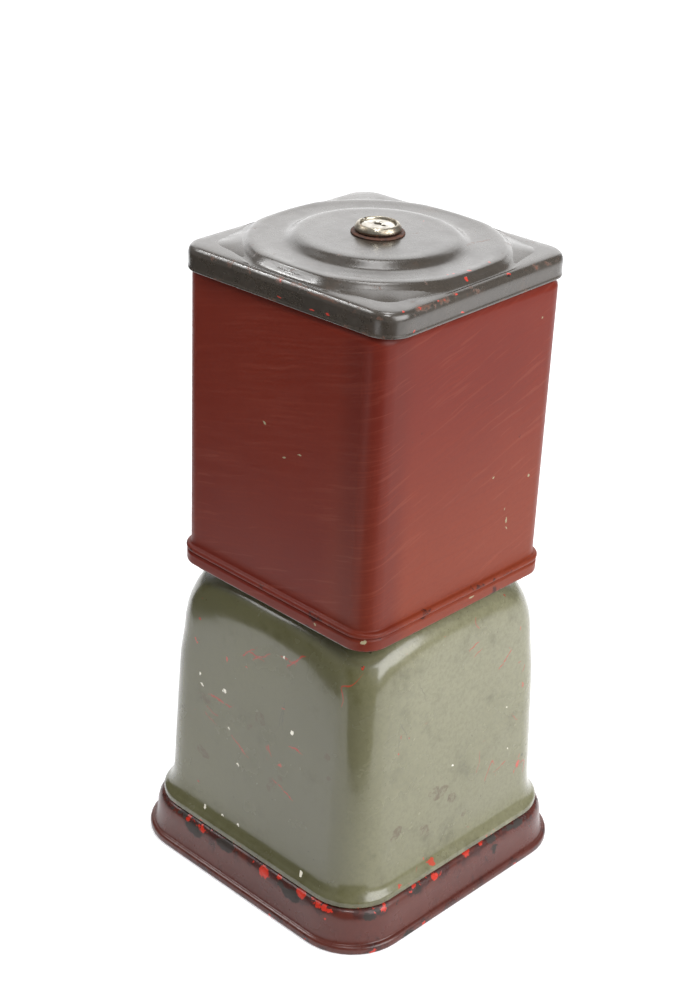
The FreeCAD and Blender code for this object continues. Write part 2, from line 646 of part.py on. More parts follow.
def make_ratchet_pawl():
    """The pawl stands on the tip of a tooth, a hair clear of the circle that the tips sweep."""
    owner = body("ratchet_pawl_body")
    nose = s.ratchet_tip + 0.12
    outline = polygon(sketch_on(owner, "XZ_Plane", s.pawl_back), [
        (-nose, -0.5), (-15.9, -7.8), (-17.8, -13.6), (-19.0, -17.6), (-22.0, -16.2),
        (-26.8, -16.2), (-26.8, -13.6), (-22.2, -13.2), (-19.8, -6.4), (-17.8, -0.5)])
    pad(owner, outline, s.pawl_thick)
    at = (-s.pawl_pivot_x, -s.pawl_pivot_drop)
    hub = circle(sketch_on(owner, "XZ_Plane", s.pawl_back), 3.2, *at)
    pad(owner, hub, s.pawl_thick)
    bore = circle(sketch_on(owner, "XZ_Plane", s.pawl_back), 1.5 + SIZES["slip"], *at)
    pocket(owner, bore, s.pawl_thick, reverse=True)
    place(owner, (0, 0, s.shaft_z))
    return node(owner, "ratchet_pawl")


def make_pawl_pivot():
    pin = cylinder(1.5, 13.5, (-s.pawl_pivot_x, -75.5, s.shaft_z - s.pawl_pivot_drop), "y")
    return node(pin, "pawl_pivot")


def make_pawl_spring():
    bind_coil = {"Pitch": s.spring_length / 5, "Height": s.spring_length, "Radius": s.spring_radius}
    path = doc.addObject("Part::Helix", "coil_path")
    for name, size in bind_coil.items():
        bind(path, name, size)
    wire = doc.addObject("Part::Circle", "wire_section")
    bind(wire, "Radius", s.spring_wire)
    wire.Placement = Placement(Vector(s.spring_radius.number, 0, 0), Rotation(Vector(1, 0, 0), 90))
    bind(wire, "Placement.Base.x", s.spring_radius)
    coil = doc.addObject("Part::Sweep", "coil")
    coil.Sections = [wire]
    coil.Spine = (path, ["Edge1"])
    coil.Solid = True
    coil.Frenet = True
    place(coil, (-25.2, -73.55, s.shaft_z - 26.35))
    return node(coil, "pawl_spring")


def make_back_plate():
    plate = block((-26, -s.back_plate_front, s.shaft_z - 27), (26, -s.back_plate_back, s.shaft_z + 27))
    seat = block((-26.8, -75.2, s.shaft_z - 28.6), (-22, -s.back_plate_back, s.shaft_z - 26.7))
    bore = cylinder(s.journal_radius + s.slip, 10, (0, -66, s.shaft_z), "y")
    return node(cut(fuse(plate, seat), bore), "mechanism_back_plate")


def make_pillars():
    pillars = [cylinder(s.pillar_radius, s.block_back - s.back_plate_front,
                        (s.pillar_x * sx, -s.block_back, s.shaft_z + s.pillar_z * sz), "y")
               for sx in (-1, 1) for sz in (-1, 1)]
    return node(group(*pillars), "mechanism_pillars")


def make_drive_pinion():
    owner = body("drive_pinion_body")
    width = s.pinion_front - s.pinion_back
    disc = circle(sketch_on(owner, "XZ_Plane", s.pinion_back), s.pinion_tip)
    pad(owner, disc, width)
    bore = circle(sketch_on(owner, "XZ_Plane", s.pinion_back), s.journal_radius + 0.02)
    pocket(owner, bore, width, reverse=True)
    half_pitch = math.pi / SIZES["pinion_teeth"]
    tip_angle, root_angle = half_pitch * 0.80, half_pitch * 0.34
    reach = s.pinion_tip + 0.6
    points = [(reach * math.sin(half_pitch - tip_angle), reach * math.cos(half_pitch - tip_angle)),
              (reach * math.sin(half_pitch + tip_angle), reach * math.cos(half_pitch + tip_angle)),
              (s.pinion_root * math.sin(half_pitch + root_angle),
               s.pinion_root * math.cos(half_pitch + root_angle)),
              (s.pinion_root * math.sin(half_pitch - root_angle),
               s.pinion_root * math.cos(half_pitch - root_angle))]
    gap = polygon(sketch_on(owner, "XZ_Plane", s.pinion_back), points)
    around(owner, pocket(owner, gap, width, reverse=True), s.pinion_teeth, "Y_Axis")
    place(owner, (0, 0, s.shaft_z))
    return node(owner, "drive_pinion")


def make_shaft_clip():
    clip = tube(6.4, s.journal_radius - 0.55, 0.7, (0, -s.back_plate_back + 0.95, s.shaft_z), "y")
    mouth = block((-2.4, -60, s.shaft_z - 8), (2.4, -57, s.shaft_z - 1.5))
    return node(cut(clip, mouth), "shaft_clip")


# ---- product chute and door --------------------------------------------------------------------

def make_product_chute():
    wall = s.chute_sheet
    outside = body("chute_outside")
    outline = polygon(sketch_on(outside, "YZ_Plane", -s.chute_half), [
        (-s.chute_front, s.chute_top), (-s.chute_front, 92), (-s.chute_out, s.outlet_high),
        (-s.chute_out, s.outlet_low), (-s.chute_rear, 83), (-s.chute_rear, s.chute_top)])
    pad(outside, outline, s.chute_half * 2)
    inside = body("chute_inside")
    outline = polygon(sketch_on(inside, "YZ_Plane", wall - s.chute_half), [
        (wall - s.chute_front, s.chute_top + 1), (wall - s.chute_front, 91.2),
        (-s.chute_out - 2, s.outlet_high - 2.9), (-s.chute_out - 2, s.outlet_low + 0.3),
        (-s.chute_rear - wall, 83.7), (-s.chute_rear - wall, s.chute_top + 1)])
    pad(inside, outline, (s.chute_half - wall) * 2)
    return node(cut(outside, inside), "product_chute")


def make_chute_housing():
    hull = block((-s.housing_half, -s.housing_front, s.housing_low),
                 (s.housing_half, -s.wall_low_half + 4, s.housing_high))
    ears = [block((min(x, x + w), -s.hinge_y - 2.6, s.hinge_z - 5), (max(x, x + w), -85, s.housing_high))
            for x, w in ((-SIZES["housing_half"], 4), (SIZES["housing_half"], -4))]
    passage = block((-s.chute_half - 0.7, -99, s.outlet_low - 0.7),
                    (s.chute_half + 0.7, -70, s.outlet_high + 0.7))
    pin_hole = cylinder(s.hinge_pin + 0.02, 60, (-30, -s.hinge_y, s.hinge_z), "x")
    holes = [cylinder(s.screw_radius + 0.02, 12, (x, -88, z), "y") for x, z in chute_screw_places()]
    shape = cut(fuse(hull, *ears), pedestal_form(0), passage, pin_hole, *holes)
    return node(shape, "chute_housing")


def make_chute_door():
    low_edge = s.outlet_low - 2.4
    plate = block((-s.door_half, -s.hinge_y - 0.6, low_edge), (s.door_half, -s.hinge_y + 1.2, s.hinge_z))
    knuckle = cylinder(2.0, s.door_half * 2, (-s.door_half, -s.hinge_y, s.hinge_z), "x")
    lip = cylinder(2.0, s.door_half * 2, (-s.door_half, -s.hinge_y - 1.6, low_edge), "x")
    bore = cylinder(s.hinge_pin + s.slip, s.door_half * 2 + 2,
                    (-s.door_half - 1, -s.hinge_y, s.hinge_z), "x")
    return node(cut(fuse(plate, knuckle, lip), bore), "chute_door")


def make_door_pin():
    pin = cylinder(s.hinge_pin, s.housing_half * 2, (-s.housing_half, -s.hinge_y, s.hinge_z), "x")
    return node(pin, "door_pin")


def make_chute_screws():
    screws = [pan_screw(x, -77.0, z, 10.6, inward=-1) for x, z in chute_screw_places()]
    return node(group(*screws), "chute_screws")


# ---- build, check and write --------------------------------------------------------------------

for make in (make_plinth, make_base_plate, make_base_screws, make_rod_socket, make_centre_rod,
             make_body_shell, make_brackets, make_body_screws, make_hopper_pan, make_wheel_bushing,
             make_product_wheel, make_wheel_collar, make_agitator, make_discharge_guard,
             make_canister, make_lid, make_lock, make_coin_faceplate, make_faceplate_screws,
             make_handle, make_handle_shaft, make_coin_carrier, make_ratchet_wheel,
             make_ratchet_pawl, make_pawl_pivot, make_pawl_spring, make_back_plate, make_pillars,
             make_drive_pinion, make_shaft_clip, make_product_chute, make_chute_housing,
             make_chute_door, make_door_pin, make_chute_screws):
    make()
doc.recompute()

for item in doc.Objects:
    if {"Invalid", "Error"} & set(item.State):
        raise SystemExit(f"{item.Name} ({item.Label}) failed: {item.State}")
os.makedirs("parts", exist_ok=True)
for item in nodes:
    shape = item.Shape
    if shape.isNull() or not shape.isValid() or not shape.Solids:
        raise SystemExit(f"{item.Label} is not a valid solid")
    shape.exportStep(f"parts/{item.Label}.step")
    box = shape.BoundBox
    print(f"{item.Label:22s} solids {len(shape.Solids)}  volume {shape.Volume:10.1f}  "
          f"x {box.XMin:7.1f} {box.XMax:7.1f}  y {box.YMin:7.1f} {box.YMax:7.1f}  "
          f"z {box.ZMin:7.1f} {box.ZMax:7.1f}")
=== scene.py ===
import json
import math
import random

import bmesh
import bpy
import numpy as np
from mathutils import Matrix, Vector


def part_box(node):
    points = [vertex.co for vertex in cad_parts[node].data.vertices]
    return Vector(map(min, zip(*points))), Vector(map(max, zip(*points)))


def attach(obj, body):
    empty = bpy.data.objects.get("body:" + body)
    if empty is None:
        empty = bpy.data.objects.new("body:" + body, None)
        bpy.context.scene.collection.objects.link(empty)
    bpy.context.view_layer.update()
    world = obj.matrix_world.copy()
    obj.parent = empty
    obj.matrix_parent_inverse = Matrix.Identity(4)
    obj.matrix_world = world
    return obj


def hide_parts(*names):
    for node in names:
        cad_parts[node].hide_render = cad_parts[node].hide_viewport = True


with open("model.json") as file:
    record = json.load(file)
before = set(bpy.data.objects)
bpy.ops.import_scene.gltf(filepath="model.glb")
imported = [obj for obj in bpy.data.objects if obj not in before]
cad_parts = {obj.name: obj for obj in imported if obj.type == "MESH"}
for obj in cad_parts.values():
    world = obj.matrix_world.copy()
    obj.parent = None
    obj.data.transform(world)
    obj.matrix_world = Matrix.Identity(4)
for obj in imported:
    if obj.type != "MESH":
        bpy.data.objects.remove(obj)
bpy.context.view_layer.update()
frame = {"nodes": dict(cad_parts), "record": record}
MM = 0.001


# ---- meshes ------------------------------------------------------------------------------------

def new_piece(name, verts, faces, body, nodes):
    """A mesh object in the frame that stands for CAD nodes and rides on a body."""
    mesh = bpy.data.meshes.new(name)
    mesh.from_pydata([tuple(v) for v in verts], [], faces)
    mesh.validate()
    return adopt(mesh, name, body, nodes)


def adopt(mesh, name, body, nodes):
    """Puts a mesh into the scene as a smooth piece that replaces CAD nodes on a body."""
    piece = bpy.data.objects.new(name, mesh)
    bpy.context.scene.collection.objects.link(piece)
    for polygon in mesh.polygons:
        polygon.use_smooth = True
    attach(piece, body)
    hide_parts(*nodes)
    return piece


def flow(points, steps=6):
    """A smooth curve through every point (Catmull-Rom), as an array of rows."""
    p = np.asarray(points, float)
    p = np.vstack([2 * p[0] - p[1], p, 2 * p[-1] - p[-2]])
    rows = []
    for a, b, c, d in zip(p[:-3], p[1:-2], p[2:-1], p[3:]):
        for t in np.linspace(0, 1, steps, endpoint=False):
            rows.append(0.5 * (2 * b + (c - a) * t + (2 * a - 5 * b + 4 * c - d) * t ** 2
                               + (3 * b - a - 3 * c + d) * t ** 3))
    return np.array(rows + [p[-2]])


def square_angles(half, corner_at, along=22, round_steps=10):
    """Polar angles of points spread evenly along a rounded square, corners more densely."""
    radius = half - corner_at
    angles = []
    for side in range(4):
        turn = side * math.pi / 2
        for y in np.linspace(-corner_at, corner_at, along, endpoint=False):
            angles.append(math.atan2(y, half) + turn)
        for a in np.linspace(0, math.pi / 2, round_steps, endpoint=False):
            angles.append(math.atan2(corner_at + radius * math.sin(a),
                                     corner_at + radius * math.cos(a)) + turn)
    return np.array(angles)


def square_reach(angles, half, corner_at):
    """Distance from the axis to a rounded square's outline in each direction."""
    fold = np.mod(angles + math.pi / 4, math.pi / 2) - math.pi / 4
    fold = np.abs(fold)
    flat = half / np.cos(fold)
    radius = half - corner_at
    along = corner_at * (np.cos(fold) + np.sin(fold))
    across = corner_at * (np.sin(fold) - np.cos(fold))
    arc = along + np.sqrt(np.maximum(radius ** 2 - across ** 2, 0))
    return np.where(half * np.tan(fold) <= corner_at, flat, arc)


def skin(name, angles, rings, body, nodes, edges=None):
    """Skins rings of (reach per angle, height per angle) in millimetres into a closed shell.

    edges holds one wear weight per ring. UVs run along the outline and down the section."""
    count = len(angles)
    cos, sin = np.cos(angles), np.sin(angles)
    verts = np.array([np.column_stack([r * cos, r * sin, z * np.ones(count)]) for r, z in rings])
    verts = verts * MM
    faces = []
    rows = len(rings)
    for i in range(rows):
        low, high = i * count, ((i + 1) % rows) * count
        for j in range(count):
            k = (j + 1) % count
            faces.append((low + j, low + k, high + k, high + j))
    piece = new_piece(name, verts.reshape(-1, 3), faces, body, nodes)
    mesh = piece.data
    outline = np.linalg.norm(np.diff(verts[0], axis=0, append=verts[0][:1]), axis=1)
    u = np.concatenate([[0], np.cumsum(outline)])
    section = np.linalg.norm(np.diff(verts[:, 0], axis=0), axis=1)
    v = np.concatenate([[0], np.cumsum(section), [np.sum(section)]])
    layer = mesh.uv_layers.new(name="outline")
    for polygon in mesh.polygons:
        i, j = divmod(polygon.index, count)
        for loop, (du, dv) in zip(polygon.loop_indices, ((0, 0), (1, 0), (1, 1), (0, 1))):
            layer.data[loop].uv = (u[j + du], v[i + dv])
    paint_edges(mesh, np.repeat(edges if edges is not None else np.zeros(rows), count))
    return piece


def paint_edges(mesh, weights):
    """Stores how exposed to wear each vertex is, for the materials to read."""
    attribute = mesh.attributes.new("edge", "FLOAT", "POINT")
    attribute.data.foreach_set("value", np.asarray(weights, np.float32))


def lathe(name, profile, body, nodes, steps):
    """A turned piece from (radius, height) rows in millimetres."""
    angles = np.linspace(0, 2 * math.pi, steps, endpoint=False)
    rings = [(np.full(steps, r), z) for r, z in profile]
    return skin(name, angles, rings, body, nodes)


def modify(piece, kind, **settings):
    """Adds a modifier and applies it at once."""
    modifier = piece.modifiers.new(kind.lower(), kind)
    for key, value in settings.items():
        setattr(modifier, key, value)
    with bpy.context.temp_override(object=piece, active_object=piece, selected_objects=[piece]):
        bpy.ops.object.modifier_apply(modifier=modifier.name)
    return piece


def carve(piece, *tools):
    """Cuts tool meshes out of a piece and removes the tools."""
    for tool in tools:
        modify(piece, "BOOLEAN", object=tool, operation="DIFFERENCE", solver="EXACT")
        bpy.data.objects.remove(tool)
    return piece


def rounded_block(low, high, radius, segments=3):
    """A box from corner to corner in millimetres with all its edges rounded."""
    low, high = Vector(low) * MM, Vector(high) * MM
    shape = bmesh.new()
    bmesh.ops.create_cube(shape, size=1.0)
    bmesh.ops.scale(shape, vec=high - low, verts=shape.verts)
    bmesh.ops.translate(shape, vec=(low + high) / 2, verts=shape.verts)
    if radius:
        bmesh.ops.bevel(shape, geom=shape.edges[:], offset=radius * MM, segments=segments,
                        profile=0.5, affect="EDGES")
    return finish_tool(shape)


def drum(radius, low, high, at, steps):
    """An upright cylinder between two heights in millimetres."""
    shape = bmesh.new()
    bmesh.ops.create_cone(shape, cap_ends=True, segments=steps, radius1=radius * MM,
                          radius2=radius * MM, depth=(high - low) * MM)
    bmesh.ops.translate(shape, vec=Vector((*at, (low + high) / 2)) * MM, verts=shape.verts)
    return finish_tool(shape)


def finish_tool(shape):
    """Turns a bmesh into an object for carve() to use up."""
    mesh = bpy.data.meshes.new("tool")
    shape.to_mesh(mesh)
    shape.free()
    tool = bpy.data.objects.new("tool", mesh)
    bpy.context.scene.collection.objects.link(tool)
    return tool


def box_mm(node):
    """The low and high corners of a CAD node in millimetres."""
    low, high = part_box(node)
    return np.array(low) / MM, np.array(high) / MM


# ---- materials ---------------------------------------------------------------------------------

def linear(code):
    """An sRGB hex colour as linear RGBA."""
    values = [int(code[i:i + 2], 16) / 255 for i in (0, 2, 4)]
    return tuple(v / 12.92 if v <= 0.04045 else ((v + 0.055) / 1.055) ** 2.4 for v in values) + (1,)


# Half width of the machine below each height, in millimetres: plinth, foot, pedestal, canister, lid.
SURFACE_AT = ((25.5, 89.0), (38.0, 85.5), (181.0, 79.0), (355.0, 72.0), (500.0, 73.5))


class Finish:
    """A node material under construction; every helper returns an output socket."""

    def __init__(self, name):
        self.material = bpy.data.materials.new(name)
        self.material.use_nodes = True
        self.tree = self.material.node_tree
        self.tree.nodes.clear()
        self.out = self.tree.nodes.new("ShaderNodeOutputMaterial")
        self.shader = self.tree.nodes.new("ShaderNodeBsdfPrincipled")
        self.tree.links.new(self.shader.outputs[0], self.out.inputs[0])
        self.coords = self.tree.nodes.new("ShaderNodeTexCoord")
        self.height = None

    def link(self, source, target):
        self.tree.links.new(source, target)

    def put(self, socket, value):
        if isinstance(value, bpy.types.NodeSocket):
            self.link(value, socket)
        else:
            socket.default_value = value

    def math(self, kind, a, b=0.0, c=0.0):
        node = self.tree.nodes.new("ShaderNodeMath")
        node.operation = kind
        for socket, value in zip(node.inputs, (a, b, c)):
            self.put(socket, value)
        return node.outputs[0]

    def space(self, stretch=(1, 1, 1), source="Object", turn=0.0, warp=None, amount=0.0):
        """Coordinates, stretched, turned about Z and pushed about by a warp colour."""
        vector = self.coords.outputs[source]
        if warp is not None:
            push = self.tree.nodes.new("ShaderNodeVectorMath")
            push.operation = "MULTIPLY_ADD"
            self.link(warp, push.inputs[0])
            push.inputs[1].default_value = (amount,) * 3
            self.link(vector, push.inputs[2])
            vector = push.outputs[0]
        return self.local(vector, (0, 0, 0), (0, 0, turn), [1 / value for value in stretch])

    def local(self, vector, centre, turn, size):
        """Coordinates seen from a centre, in a turned frame, in units of a size along each axis."""
        node = self.tree.nodes.new("ShaderNodeMapping")
        node.vector_type = "TEXTURE"
        self.link(vector, node.inputs[0])
        node.inputs["Location"].default_value = centre
        node.inputs["Rotation"].default_value = turn
        node.inputs["Scale"].default_value = size
        return node.outputs[0]

    def noise(self, scale, detail=3.0, rough=0.5, vector=None, colour=False):
        node = self.tree.nodes.new("ShaderNodeTexNoise")
        self.link(vector or self.coords.outputs["Object"], node.inputs["Vector"])
        node.inputs["Scale"].default_value = scale
        node.inputs["Detail"].default_value = detail
        node.inputs["Roughness"].default_value = rough
        return node.outputs["Color" if colour else "Fac"]

    def band(self, value, start, end, low=0.0, high=1.0):
        """A smooth ramp from low to high as value runs from start to end."""
        node = self.tree.nodes.new("ShaderNodeMapRange")
        node.interpolation_type = "SMOOTHSTEP"
        for key, item in (("Value", value), ("From Min", start), ("From Max", end),
                          ("To Min", low), ("To Max", high)):
            self.put(node.inputs[key], item)
        return node.outputs["Result"]

    def mix(self, amount, a, b):
        node = self.tree.nodes.new("ShaderNodeMix")
        node.data_type = "RGBA"
        self.put(node.inputs[0], amount)
        self.put(node.inputs[6], a)
        self.put(node.inputs[7], b)
        return node.outputs[2]

    def axes(self):
        """The object's own X, Y and Z at the shaded point, in metres."""
        node = self.tree.nodes.new("ShaderNodeSeparateXYZ")
        self.link(self.coords.outputs["Object"], node.inputs[0])
        return node.outputs[0], node.outputs[1], node.outputs[2]

    def edge(self):
        node = self.tree.nodes.new("ShaderNodeAttribute")
        node.attribute_name = "edge"
        return node.outputs["Fac"]

    def flecks(self, scale, share, size, warp_scale=300, warp=0.004):
        """Scattered small ragged spots: one in some cells of a random pattern."""
        warped = self.space(warp=self.noise(warp_scale, 2, colour=True), amount=warp)
        node = self.tree.nodes.new("ShaderNodeTexVoronoi")
        self.link(warped, node.inputs["Vector"])
        node.inputs["Scale"].default_value = scale
        parts = self.tree.nodes.new("ShaderNodeSeparateColor")
        self.link(node.outputs["Color"], parts.inputs[0])
        chosen = self.math("LESS_THAN", parts.outputs[0], share)
        reach = self.math("MULTIPLY", parts.outputs[1], size)
        near = self.math("LESS_THAN", node.outputs["Distance"], reach)
        return self.math("MULTIPLY", chosen, near)

    def squiggles(self, scale, width, share, seed):
        """Thin wandering scratches: contour lines of a noise, kept only in patches."""
        vector = self.space(warp=self.noise(scale * 1.7, 2, colour=True), amount=0.006)
        field = self.noise(scale, 1.0, 0.5, vector)
        line = self.band(self.math("ABSOLUTE", self.math("SUBTRACT", field, 0.5)), 0, width, 1, 0)
        offset = self.tree.nodes.new("ShaderNodeVectorMath")
        offset.operation = "ADD"
        self.link(self.coords.outputs["Object"], offset.inputs[0])
        offset.inputs[1].default_value = (seed, seed * 2, seed * 3)
        patch = self.band(self.noise(scale * 0.8, 3, 0.6, offset.outputs[0]), 1 - share, 1.02 - share)
        return self.math("MULTIPLY", line, patch)

    def ragged(self, scale, amount):
        """Object coordinates pushed about by noise, so that marks get uneven outlines."""
        centred = self.tree.nodes.new("ShaderNodeVectorMath")
        centred.operation = "SUBTRACT"
        self.link(self.noise(scale, 3, 0.7, colour=True), centred.inputs[0])
        centred.inputs[1].default_value = (0.5, 0.5, 0.5)
        return self.space(warp=centred.outputs[0], amount=amount)

    def marks(self, vector, rows):
        """Ragged elliptical marks, each (face, along, height, length, width, turn), in mm and degrees.

        Along runs by Y on the left face and by X on the right face; on top the place is (X, Y)."""
        total = None
        for face, along, height, length, width, turn in rows:
            turn, depth = math.radians(turn), 6.0
            out = next(reach for top, reach in SURFACE_AT if height < top)
            if face == "left":
                centre, turned, size = (out, along, height), (turn, 0, 0), (depth, length / 2, width / 2)
            elif face == "right":
                centre, turned, size = (along, out, height), (0, -turn, 0), (length / 2, depth, width / 2)
            else:
                centre, turned, size = (along, height, 371), (0, 0, turn), (length / 2, width / 2, depth)
            local = self.local(vector, [v * MM for v in centre], turned, [v * MM for v in size])
            node = self.tree.nodes.new("ShaderNodeVectorMath")
            node.operation = "LENGTH"
            self.link(local, node.inputs[0])
            mask = self.band(node.outputs["Value"], 0.82, 1.0, 1, 0)
            total = mask if total is None else self.math("MAXIMUM", total, mask)
        return total

    def union(self, *masks):
        total = masks[0]
        for mask in masks[1:]:
            total = self.math("MAXIMUM", total, mask)
        return total

    def raise_by(self, value, millimetres):
        """Adds a height in millimetres to what the bump node sees."""
        part = self.math("MULTIPLY", value, millimetres * MM)
        self.height = part if self.height is None else self.math("ADD", self.height, part)

    def done(self, colour, roughness, metallic=0.0, coat=0.0, coat_rough=0.1, specular=0.5):
        self.put(self.shader.inputs["Base Color"], colour)
        self.put(self.shader.inputs["Roughness"], roughness)
        self.put(self.shader.inputs["Metallic"], metallic)
        self.shader.inputs["Coat Weight"].default_value = coat
        self.shader.inputs["Coat Roughness"].default_value = coat_rough
        self.shader.inputs["Specular IOR Level"].default_value = specular
        if self.height is not None:
            bump = self.tree.nodes.new("ShaderNodeBump")
            bump.inputs["Strength"].default_value = 1.0
            bump.inputs["Distance"].default_value = 1.0
            self.link(self.height, bump.inputs["Height"])
            self.link(bump.outputs[0], self.shader.inputs["Normal"])
        return self.material


BARE = linear("2a211c")
CHALK = linear("ddd8c8")


def scatter(seed, *zones):
    """Marks thrown at random into zones, each (face, count, along, height, length, slimness, turn).

    All but face and count are (least, most): millimetres, width over length, and degrees."""
    dice = random.Random(seed)
    rows = []
    for face, count, along, height, length, slimness, turn in zones:
        for _ in range(count):
            size = dice.uniform(*length)
            rows.append((face, dice.uniform(*along), dice.uniform(*height), size,
                         size * dice.uniform(*slimness), dice.uniform(*turn)))
    return rows


ROUNDISH, LONG, HAIRLINE, ANY_WAY = (0.5, 0.9), (0.2, 0.5), (0.04, 0.08), (0, 180)
GREEN_CHIPS = scatter(11, ("left", 9, (-50, 70), (65, 165), (1.6, 4.6), ROUNDISH, ANY_WAY),
                      ("left", 4, (-45, 60), (30, 36), (2.0, 3.6), ROUNDISH, ANY_WAY),
                      ("right", 3, (-60, 80), (70, 150), (1.0, 1.8), ROUNDISH, ANY_WAY))
GREEN_PRIMER = scatter(12, ("left", 5, (-60, 60), (80, 150), (2.0, 5.0), LONG, ANY_WAY),
                       ("right", 5, (-62, -50), (50, 155), (2.0, 6.0), LONG, (70, 110)),
                       ("right", 4, (0, 60), (27, 34), (3.0, 9.0), LONG, (-20, 20)))
GREEN_SCRATCHES = scatter(13, ("left", 5, (-10, 35), (145, 163), (12, 26), HAIRLINE, (-10, 45)),
                          ("left", 5, (-60, 50), (70, 115), (10, 26), HAIRLINE, (-45, 15)),
                          ("right", 5, (-62, -5), (50, 170), (8, 18), HAIRLINE, (-45, 90)))
GREEN_SCORES = scatter(14, ("left", 2, (-10, 30), (90, 140), (20, 32), (0.02, 0.03), (75, 100)),
                       ("right", 3, (20, 55), (120, 150), (12, 30), (0.02, 0.03), (60, 100)))
GREEN_GRIME = scatter(15, ("left", 8, (-45, 70), (60, 120), (4, 13), ROUNDISH, ANY_WAY),
                      ("right", 6, (-20, 75), (45, 105), (4, 15), ROUNDISH, ANY_WAY))


def green_enamel():
    """Sage enamel, painted lighter towards +Y and darker towards +X as painted light, over red primer,
    chipped to both primer and chalky filler.
    """
    f = Finish("green_enamel")
    torn, wandering = f.ragged(330, 0.0045), f.ragged(110, 0.0050)
    across, outward, _ = f.axes()
    # Painted light: the +Y side is painted lighter and the +X side darker, as if lit from +Y.
    painted_light_side = f.band(f.math("SUBTRACT", outward, across), -0.03, 0.05)
    tone = f.mix(painted_light_side, linear("504e36"), linear("757359"))
    tone = f.mix(f.band(f.noise(9, 3), 0.3, 0.7, 0, 0.5), tone, linear("656345"))
    tone = f.mix(f.band(f.noise(420, 4, 0.75), 0.35, 0.75, 0, 0.45), tone, linear("504e38"))
    grime = f.math("ADD", f.noise(55, 5, 0.7), f.math("MULTIPLY", f.edge(), 0.27))
    tone = f.mix(f.band(grime, 0.55, 0.95), tone, linear("423f22"))
    smudges = f.math("MULTIPLY", f.marks(wandering, GREEN_GRIME), f.band(f.noise(240, 5, 0.8), 0.40, 0.60))
    tone = f.mix(f.math("MULTIPLY", smudges, 0.8), tone, linear("4b3a22"))
    specks = f.union(f.flecks(230, 0.30, 0.10), f.flecks(120, 0.10, 0.14))
    tone = f.mix(f.math("MULTIPLY", specks, 0.75), tone, linear("37321f"))
    scores = f.marks(wandering, GREEN_SCORES)
    tone = f.mix(f.math("MULTIPLY", scores, 0.55), tone, linear("3c3a30"))
    broken = f.band(f.noise(330, 3, 0.7), 0.36, 0.50)
    lines = f.math("MULTIPLY", f.marks(wandering, GREEN_SCRATCHES), broken)
    lines = f.union(lines, f.math("MULTIPLY", f.squiggles(30, 0.0045, 0.36, 3.1), 0.9))
    tone = f.mix(lines, tone, linear("96301f"))
    worn = f.math("ADD", f.noise(130, 6, 0.75), f.math("MULTIPLY", f.edge(), 0.13))
    primer = f.union(f.band(worn, 0.725, 0.74), f.flecks(120, 0.04, 0.12), f.marks(torn, GREEN_PRIMER))
    tone = f.mix(f.math("MULTIPLY", primer, 0.85), tone, linear("b0331f"))
    flakes = f.flecks(70, 0.06, 0.09)
    chalk = f.union(flakes, f.marks(torn, GREEN_CHIPS))
    tone = f.mix(chalk, tone, CHALK)
    f.raise_by(f.noise(55, 3), 0.30)
    f.raise_by(f.noise(300, 3), 0.03)
    f.raise_by(f.noise(7, 2), 2.0)
    f.raise_by(flakes, -0.12)
    rough = f.band(f.noise(35, 4, 0.6), 0.3, 0.8, 0.19, 0.34)
    return f.done(tone, rough, coat=0.35, coat_rough=0.12)


PLINTH_PRIMER = scatter(21, ("left", 7, (-72, 76), (21, 26), (4, 9), ROUNDISH, (-20, 20)),
                        ("left", 2, (-60, 60), (2, 4), (3, 4), LONG, (-10, 10)),
                        ("right", 4, (-30, 84), (21, 26), (4, 9), ROUNDISH, (-10, 10)))
PLINTH_BARE = scatter(22, ("left", 4, (-60, 84), (19, 24), (6, 16), LONG, (-8, 8)),
                      ("right", 4, (-74, 80), (19, 24), (6, 12), LONG, (-8, 8)),
                      ("right", 1, (-20, -5), (2, 3), (16, 20), (0.2, 0.3), (0, 8)))
PLINTH_TAN = scatter(23, ("right", 2, (-30, -5), (2, 3), (5, 13), LONG, (0, 8)))


def maroon_enamel():
    """Dark maroon enamel, bright red primer along its edges, bare dark steel where worn through."""
    f = Finish("maroon_enamel")
    torn = f.ragged(260, 0.0050)
    tone = f.mix(f.band(f.noise(12, 4), 0.3, 0.7), linear("4d2018"), linear("572920"))
    tone = f.mix(f.band(f.noise(380, 4, 0.75), 0.35, 0.75, 0, 0.35), tone, linear("3d1c18"))
    worn = f.math("ADD", f.noise(75, 6, 0.72), f.math("MULTIPLY", f.edge(), 0.19))
    tone = f.mix(f.band(worn, 0.60, 0.70, 0, 0.8), tone, linear("331512"))
    primer = f.union(f.band(worn, 0.775, 0.79), f.flecks(110, 0.05, 0.15), f.marks(torn, PLINTH_PRIMER))
    tone = f.mix(primer, tone, linear("b52a18"))
    bare = f.math("ADD", f.noise(32, 6, 0.7), f.math("MULTIPLY", f.edge(), 0.12))
    bare = f.union(f.band(bare, 0.70, 0.715), f.marks(torn, PLINTH_BARE))
    tone = f.mix(bare, tone, BARE)
    tone = f.mix(f.marks(torn, PLINTH_TAN), tone, linear("8d7a5c"))
    f.raise_by(f.noise(60, 4), 0.35)
    f.raise_by(f.noise(6, 2), 1.5)
    f.raise_by(f.band(worn, 0.70, 0.79), -0.10)
    rough = f.band(f.noise(40, 4, 0.6), 0.3, 0.8, 0.22, 0.40)
    rough = f.math("ADD", rough, f.math("MULTIPLY", bare, 0.3))
    return f.done(tone, rough, coat=0.12, coat_rough=0.12, specular=0.4)


